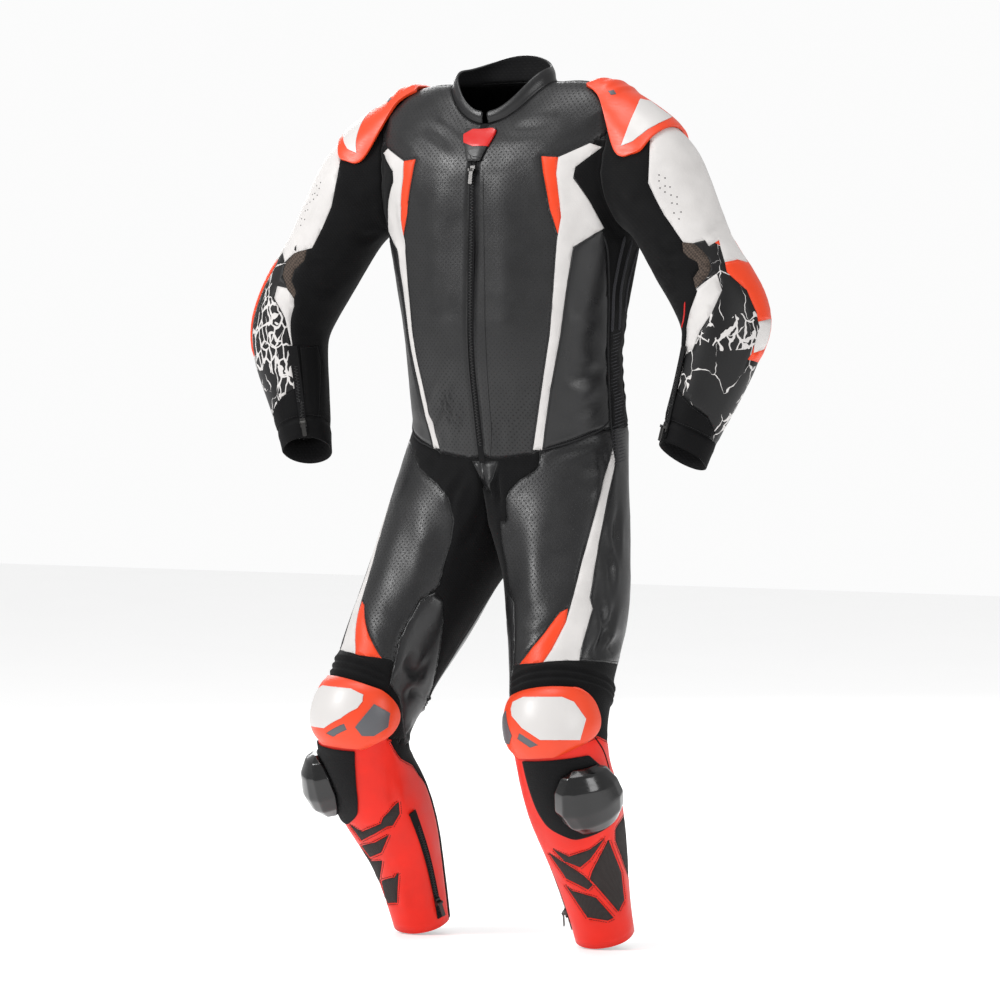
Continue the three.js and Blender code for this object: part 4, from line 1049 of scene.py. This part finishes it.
hardLook = {"inlayWall": 0.003, "rim": 0.0009, "inlayRim": 0.0004, "cupLevels": 3, "rimSegments": 2,
            "rimAngle": 50, "keptAngle": 38, "puckAngle": 18}


# A closed CAD piece made smooth, its rims kept crisp
def softCopy(nodeName, levels, rim, angle=hardLook["keptAngle"]):
    bm = bmesh.new()
    bm.from_mesh(nodes[nodeName].data)
    bmesh.ops.remove_doubles(bm, verts=bm.verts, dist=shellLook["hair"])
    bmesh.ops.join_triangles(bm, faces=bm.faces, angle_face_threshold=shellLook["flat"],
                             angle_shape_threshold=shellLook["square"])
    crease = bm.edges.layers.float.new("crease_edge")
    for edge in bm.edges:
        if edge.calc_face_angle(0) > math.radians(angle):
            edge[crease] = rim
    return subdivided(meshOf(bm, nodeName), levels)


def mirroredMesh(mesh, mirror):
    made = mesh.copy()
    if mirror == -1:
        made.transform(Matrix.Diagonal((-1, 1, 1, 1)))
        made.flip_normals()
    return made


def placed(name, mesh, finish, body="suit", replaced=None):
    piece = linked(name, mesh)
    setFinish(piece, finish)
    smoothed(piece)
    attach(piece, body)
    if replaced:
        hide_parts(replaced)
    return piece


# Cups: the outline of each coloured area, the side it is seen on, its finish and how far it stands proud
cups = {
    "knee_cup": {
        "limb": "leg", "wall": 0.006, "slot": "orange_moulding", "areas": [
            ("white", 1, "whitePlastic", 0.0009, [
                (511, 709), (513, 702), (523, 697), (562, 697), (574, 702), (586, 719), (580, 740),
                (540, 740), (522, 728), (512, 716),
            ]),
            ("grey", -1, "greyPlastic", 0.0010, [
                (374, 704), (390, 713), (388, 727), (374, 736), (362, 736), (355, 727),
            ]),
            ("slot", 1, "greyPlastic", -0.0004, [(519, 733), (538, 745), (530, 748), (517, 739)]),
        ],
    },
    "shoulder_cup": {
        "limb": "sleeve", "wall": 0.005, "slot": "orange_moulding", "areas": [
            ("white", 1, "whitePlastic", 0.0009, [
                (640, 99), (650, 101), (672, 117), (661, 122), (648, 129), (633, 141), (621, 146),
                (630, 122),
            ]),
            ("mark", 1, "greyPlastic", 0.0006, [(608, 91), (614, 90), (616, 94), (611, 95)]),
        ],
    },
}


def buildCup(kind, look):
    smooth = fitted(outerSkin(kind + "_left", look["limb"], 1), hardLook["cupLevels"])
    bm = bmesh.new()
    bm.from_mesh(smooth)
    layer = bm.faces.layers.int.new("area")
    bmesh.ops.recalc_face_normals(bm, faces=bm.faces)
    for number, (title, side, finish, rise, outline) in enumerate(look["areas"]):
        recut(bm, layer, {0}, number + 1, outline, side)
    bm.normal_update()
    areas = [("shell", "orangePlastic", 0.0), *[(row[0], row[2], row[3]) for row in look["areas"]]]
    for number, (title, finish, rise) in enumerate(areas):
        part = bm.copy()
        own = part.faces.layers.int["area"]
        bmesh.ops.delete(part, geom=[f for f in part.faces if f[own] != number], context="FACES")
        if not part.faces:
            print("  empty area", kind, title)
            continue
        for vert in part.verts:
            vert.co += vert.normal * rise
        mesh = meshOf(part, kind + title)
        for tag, mirror in bothSides:
            node = kind + tag if number == 0 else None
            own = mirroredMesh(mesh, mirror)
            piece = placed(f"{kind}{tag}_{title}", own, finish, "suit", node)
            solid(piece, look["wall"] if number == 0 else hardLook["inlayWall"])
            rounded(piece, hardLook["rim" if number == 0 else "inlayRim"])
    bm.free()


for kind, look in cups.items():
    buildCup(kind, look)
for tag, mirror in bothSides:
    patch = mirroredMesh(softCopy("hook_patch_left", 2, 0.6), mirror)
    placed("hook_patch" + tag + "_pile", patch, "hook", "suit", "hook_patch" + tag)
    puck = mirroredMesh(softCopy("knee_slider_left", 3, 0.72, hardLook["puckAngle"]), mirror)
    body = "knee_slider" + tag
    placed(body + "_puck", puck, "puck", body, body)
print("cups, patches and pucks made")


lineLook = {"tip": 0.4, "jump": 0.06}


def segmentMesh(path, radius, name="line"):
    curve = bpy.data.curves.new(name, "CURVE")
    curve.dimensions = "3D"
    spline = curve.splines.new("POLY")
    spline.points.add(len(path) - 1)
    for point, spot in zip(spline.points, path):
        point.co = (*spot, 1)
        point.radius = 1
    spline.points[0].radius = spline.points[-1].radius = lineLook["tip"]
    curve.bevel_depth = radius
    curve.bevel_resolution = 2
    curve.use_fill_caps = True
    return applied(linked(name, curve))


# The points of a line that lies on a surface, a little above or below it
def onSurface(tree, pixels, side, lift, steps=8):
    path = []
    for spot in curved(pixels, steps):
        eye, ray = flip(frontAim[0], side), flip(pixelRay(spot.x, spot.y, frontAim), side)
        hit, normal, face, away = tree.ray_cast(eye, ray)
        if hit is not None and (not path or (hit - path[-1]).length < lineLook["jump"]):
            path.append(hit + normal * lift)
    return path


# Raised lines on the suit: piping, welts and ribs. Each row: name, finish, slot, radius, lift, whether it
# is on both sides, and its points in a picture 1000 wide.
lines = [
    ("side_piping", "pipe", "black_leather", 0.0016, 0.0002, True, [
        (604, 236), (608, 255), (609, 300), (608, 350), (610, 410), (612, 440)]),
    ("hip_welt", "pipe", "black_leather", 0.0014, 0.0001, True, [
        (543, 450), (565, 444), (582, 438), (600, 430), (611, 420)]),
    ("zip_seam", "black", "black_leather", 0.0008, 0.0002, False, [
        (483, 172), (484, 250), (485, 330), (488, 390), (491, 430), (490, 458)]),
    ("inner_piping", "label", "red_leather", 0.0012, 0.0004, False, [
        (685, 302), (684, 318), (680, 334), (675, 349)]),
    ("rib_one", "rib", "black_stretch", 0.0030, -0.0006, True, [
        (625, 236), (619, 262), (614, 290), (613, 312), (612, 332)]),
    ("rib_two", "rib", "black_stretch", 0.0028, -0.0006, True, [
        (632, 240), (626, 264), (621, 290), (620, 312), (619, 330)]),
    ("rib_three", "rib", "black_stretch", 0.0024, -0.0006, True, [
        (638, 247), (632, 268), (627, 290), (625, 312)]),
    ("shin_edge", "lining", "black_stretch", 0.0014, -0.0002, True, [(594, 736), (604, 752), (612, 780)]),
]
for name, finish, slot, radius, lift, both, pixels in lines:
    path = onSurface(shellTree, pixels, 1, lift)
    if len(path) < 3:
        print("  short line", name)
        continue
    mesh = segmentMesh(path, radius)
    if not both:
        placed(name, mesh, finish)
    else:
        for tag, mirror in bothSides:
            other = [shellTree.find_nearest(flip(spot, mirror)) for spot in path]
            placed(name + tag, segmentMesh([h + n * lift for h, n, *rest in other], radius), finish)

# Pleats of the side panel, slanting down to the front
pleats = {"top": 336, "bottom": 468, "pitch": 3.4, "front": 611, "back": 634, "drop": 9, "radius": 0.0011,
          "lift": -0.0002, "steps": 5}
for tag, mirror in bothSides:
    parts = bmesh.new()
    level = pleats["top"]
    while level < pleats["bottom"]:
        ends = [(pleats["front"], level), (pleats["back"], level - pleats["drop"])]
        path = onSurface(shellTree, ends, mirror, pleats["lift"], pleats["steps"])
        if len(path) > 2:
            parts.from_mesh(segmentMesh(path, pleats["radius"]))
        level += pleats["pitch"]
    placed("side_pleats" + tag, meshOf(parts, "pleats"), "rib")
print("piping and welts laid")


# Zips: the tape is the CAD piece made smooth, its slider metal; the teeth are laid along it
joints = {joint["name"]: joint for joint in frame["joints"]}
zips = {
    "front_zip": {"joint": "front_pull_hinge", "pull": "front_pull"},
    "calf_zip_left": {"joint": "calf_pull_hinge_left", "pull": "calf_pull_left"},
    "calf_zip_right": {"joint": "calf_pull_hinge_right", "pull": "calf_pull_right"},
    "wrist_zip_left": {"joint": "wrist_pull_hinge_left", "pull": "wrist_pull_left"},
    "wrist_zip_right": {"joint": "wrist_pull_hinge_right", "pull": "wrist_pull_right"},
}
zipLook = {"sliderReach": 0.0083, "pitch": 0.0024, "tooth": (0.0042, 0.0012, 0.0016), "toothBevel": 0.0003,
           "sink": 0.0001, "stagger": 0.0009, "clear": 0.002, "end": 0.004, "slices": 40, "above": 0.02}


# Many copies of one small shape, joined in one mesh
def scattered(name, shape, places):
    verts = []
    faces = []
    for place in places:
        base = len(verts)
        verts += [place @ v.co for v in shape.vertices]
        faces += [[base + i for i in polygon.vertices] for polygon in shape.polygons]
    mesh = bpy.data.meshes.new(name)
    mesh.from_pydata([tuple(v) for v in verts], [], faces)
    return mesh


def smallBox(size, bevel):
    bm = bmesh.new()
    bmesh.ops.create_cube(bm, size=1, matrix=Matrix.Diagonal((*size, 1)))
    if bevel:
        bmesh.ops.bevel(bm, geom=bm.edges[:], affect="EDGES", offset=bevel, segments=1, profile=0.5,
                        material=-1)
    return meshOf(bm, "box")


# A frame at a point: along, across and up
def frameAt(spot, along, upward):
    along = along.normalized()
    across = upward.cross(along).normalized()
    upward = along.cross(across)
    return Matrix((
        (along.x, across.x, upward.x, spot.x),
        (along.y, across.y, upward.y, spot.y),
        (along.z, across.z, upward.z, spot.z),
        (0, 0, 0, 1),
    ))


def evenly(path, pitch):
    made = []
    left = 0.0
    for a, b in zip(path, path[1:]):
        length = (b - a).length
        while left < length:
            made.append((a.lerp(b, left / length), (b - a).normalized()))
            left += pitch
        left -= length
    return made


# The middle line of a zip: the middle of the points in each short length of it
def zipMiddle(mesh):
    co = np.array([v.co[:] for v in mesh.vertices])
    centre = co.mean(0)
    main = np.linalg.svd(co - centre, full_matrices=False)[2][0]
    along = (co - centre) @ main
    path = []
    edges = np.linspace(along.min() + zipLook["end"], along.max() - zipLook["end"], zipLook["slices"] + 1)
    for low, high in zip(edges, edges[1:]):
        band = co[(along >= low) & (along <= high)]
        if len(band) > 3:
            path.append(Vector(band.mean(0)))
    return path


for nodeName, look in zips.items():
    mesh = softCopy(nodeName, 1, 1.0)
    piece = linked(nodeName + "_tape", mesh)
    setFinish(piece, "tape", "metal")
    pivot = Vector(joints[look["joint"]]["pos_m"])
    for polygon in piece.data.polygons:
        polygon.material_index = 1 if (polygon.center - pivot).length < zipLook["sliderReach"] else 0
    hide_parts(nodeName)
    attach(piece, "suit")
    tape = BVHTree.FromPolygons([v.co for v in mesh.vertices], [p.vertices for p in mesh.polygons])
    path = zipMiddle(mesh)
    places = []
    limb = "torso" if nodeName == "front_zip" else "leg" if "calf" in nodeName else "sleeve"
    mirror = -1 if nodeName.endswith("_right") else 1
    for number, (spot, along) in enumerate(evenly(path, zipLook["pitch"])):
        out = fromLine(spot, limb, mirror).normalized()
        out = (out - along * out.dot(along)).normalized()
        hit = tape.ray_cast(spot + out * zipLook["above"], -out)[0]
        if hit is None or (hit - pivot).length < zipLook["sliderReach"] + zipLook["clear"]:
            continue
        shift = out.cross(along) * (zipLook["stagger"] if number % 2 else -zipLook["stagger"])
        places.append(frameAt(hit + shift + out * zipLook["sink"], out.cross(along), out))
    teeth = scattered(nodeName + "_teeth", smallBox(zipLook["tooth"], zipLook["toothBevel"]), places)
    placed(nodeName + "_teeth", teeth, "garage")
    nodes[look["pull"]].material_slots[0].material = finishes["metal"]
    print("  ", nodeName, "teeth", len(places))

# The garage over the front zip's top: its hood, the plain label on it and two ribs
labelLook = {"rise": 0.0008, "wall": 0.0012, "rim": 0.0003, "ribRadius": 0.0009, "outline": [
    (462, 142), (464, 134), (473, 129), (493, 128), (500, 133), (498, 140), (488, 146), (472, 146),
], "ribs": [
    [(466, 149), (472, 156), (490, 156), (497, 149)], [(469, 154), (474, 161), (488, 161), (494, 154)],
]}
garage = bmesh.new()
garage.from_mesh(softCopy("zip_garage", 2, 0.5))
garageLayer = garage.faces.layers.int.new("area")
recut(garage, garageLayer, {0}, 1, labelLook["outline"], 1)
label = garage.copy()
labelLayer = label.faces.layers.int["area"]
bmesh.ops.delete(label, geom=[f for f in label.faces if f[labelLayer] != 1], context="FACES")
for vert in label.verts:
    vert.co += vert.normal * labelLook["rise"]
placed("zip_garage_hood", meshOf(garage, "hood"), "garage", "suit", "zip_garage")
badge = placed("zip_garage_label", meshOf(label, "label"), "label")
solid(badge, labelLook["wall"])
rounded(badge, labelLook["rim"])
hoodTree = BVHTree.FromObject(bpy.data.objects["zip_garage_hood"], bpy.context.evaluated_depsgraph_get())
for number, pixels in enumerate(labelLook["ribs"]):
    path = onSurface(hoodTree, pixels, 1, 0.0)
    if len(path) > 3:
        rib = segmentMesh(path, labelLook["ribRadius"])
        placed(f"zip_garage_rib_{number}", rib, "garage")
print("zips made")

# Stitches along the leather's seams
stitch = {"length": 0.0026, "width": 0.0007, "height": 0.0006, "pitch": 0.0038, "inset": 0.0030,
          "lift": 0.0001}
stitchedFamilies = ("front", "side_front", "back_yoke", "thigh_front", "thigh_outer", "gusset",
                    "crotch_insert", "wrist_panel", "shin")


def chains(edges):
    members = set(edges)
    used = set()
    made = []
    for edge in edges:
        if edge in used:
            continue
        used.add(edge)
        chain = list(edge.verts)
        for end in (-1, 0):
            while True:
                tip = chain[end]
                ways = [e for e in tip.link_edges if e in members]
                onward = [e for e in ways if e not in used]
                if len(ways) != 2 or not onward:
                    break
                used.add(onward[0])
                following = onward[0].other_vert(tip)
                if end == -1:
                    chain.append(following)
                else:
                    chain.insert(0, following)
        made.append(chain)
    return made


stitchPlaces = []
shell.faces.ensure_lookup_table()
borders = borderEdges(shell, panelLayer)
for index, (name, family, limb, mirror) in enumerate(panels):
    if family not in stitchedFamilies:
        continue
    rim = [e for e in borders if index in (e.link_faces[0][panelLayer], e.link_faces[1][panelLayer])]
    for chain in chains(rim):
        path = [v.co.copy() for v in chain]
        for spot, along in evenly(path, stitch["pitch"]):
            hit, normal, face, away = shellTree.find_nearest(spot)
            across = normal.cross(along).normalized() * stitch["inset"]
            for offset in (across, -across):
                hit, normal, face, away = shellTree.find_nearest(spot + offset)
                if hit is not None and shell.faces[face][panelLayer] == index:
                    stitchPlaces.append(frameAt(hit + normal * stitch["lift"], along, normal))
                    break
thread = smallBox((stitch["length"], stitch["width"], stitch["height"]), 0)
placed("seam_stitches", scattered("stitches", thread, stitchPlaces), "thread")
print("stitches:", len(stitchPlaces))

# Small holes through the white leather of the upper sleeve
holes = {"radius": 0.0011, "height": 0.0004, "at": [
    (659, 175), (665, 178), (659, 181), (665, 186), (670, 187), (660, 188), (665, 192), (671, 195),
    (677, 197), (672, 203), (677, 204), (681, 212), (674, 213), (679, 219),
]}
disc = bmesh.new()
bmesh.ops.create_cone(disc, cap_ends=True, segments=8, radius1=holes["radius"], radius2=holes["radius"],
                      depth=holes["height"])
discMesh = meshOf(disc, "hole")
for tag, mirror in bothSides:
    places = []
    for x, y in holes["at"]:
        eye, ray = flip(frontAim[0], mirror), flip(pixelRay(x, y, frontAim), mirror)
        hit, normal, face, away = shellTree.ray_cast(eye, ray)
        if hit is not None:
            places.append(frameAt(hit, normal.orthogonal(), normal))
    placed("sleeve_holes" + tag, scattered("holes", discMesh, places), "lining")
print("holes made")

# Floor, light and picture
floorLook = {"size": 9, "below": 0.002, "glow": 0.36, "grain": 3, "pale": (246, 246, 246),
             "paler": (250, 250, 250)}
floor = bmesh.new()
floorAt = Matrix.Translation((0, 0, cadBounds[0][2] - floorLook["below"]))
bmesh.ops.create_grid(floor, x_segments=1, y_segments=1, size=floorLook["size"], matrix=floorAt)
floorPiece = linked("floor", meshOf(floor, "floor"))
floorFinish = Finish("paleFloor", Roughness=0.9, Emission_Color=(1, 1, 1, 1),
                     Emission_Strength=floorLook["glow"])
floorGrain = floorFinish.grain(floorFinish.place(), floorLook["grain"])
floorTone = floorFinish.mix(floorGrain, rgb(*floorLook["pale"]), rgb(*floorLook["paler"]))
floorFinish.feed("Base Color", floorTone)
floorPiece.data.materials.append(floorFinish.material)

lights = {
    "key": {"at": (-2.4, -3.3, 1.7), "to": (0, 0, -0.5), "size": 1.2, "power": 104},
    "fill": {"at": (4.0, -1.6, 0.4), "to": (0, 0, -0.6), "size": 1.6, "power": 44},
    "top": {"at": (-0.4, -0.8, 2.8), "to": (0, 0, -0.4), "size": 1.6, "power": 46},
    "rim": {"at": (-2.6, 2.6, 1.0), "to": (0, 0, -0.5), "size": 2.0, "power": 55},
}
for name, look in lights.items():
    data = bpy.data.lights.new(name, "AREA")
    data.energy = look["power"]
    data.size = look["size"]
    lamp = bpy.data.objects.new(name, data)
    lamp.location = look["at"]
    lamp.rotation_euler = (Vector(look["to"]) - Vector(look["at"])).to_track_quat("-Z", "Y").to_euler()
    bpy.context.collection.objects.link(lamp)

# The room: soft light on the suit, and an even, nearly white backdrop behind it
roomLight = {"soft": 0.56, "backdrop": 0.97}
world = bpy.data.worlds.new("studio")
world.use_nodes = True
tree = world.node_tree
soft = tree.nodes["Background"]
soft.inputs["Color"].default_value = (1, 1, 1, 1)
soft.inputs["Strength"].default_value = roomLight["soft"]
backdrop = tree.nodes.new("ShaderNodeBackground")
backdrop.inputs["Color"].default_value = (1, 1, 1, 1)
backdrop.inputs["Strength"].default_value = roomLight["backdrop"]
either = tree.nodes.new("ShaderNodeMixShader")
path = tree.nodes.new("ShaderNodeLightPath")
tree.links.new(path.outputs["Is Camera Ray"], either.inputs[0])
tree.links.new(soft.outputs[0], either.inputs[1])
tree.links.new(backdrop.outputs[0], either.inputs[2])
tree.links.new(either.outputs[0], tree.nodes["World Output"].inputs["Surface"])
bpy.context.scene.world = world
bpy.context.scene.view_settings.view_transform = "Standard"
print("studio lit")
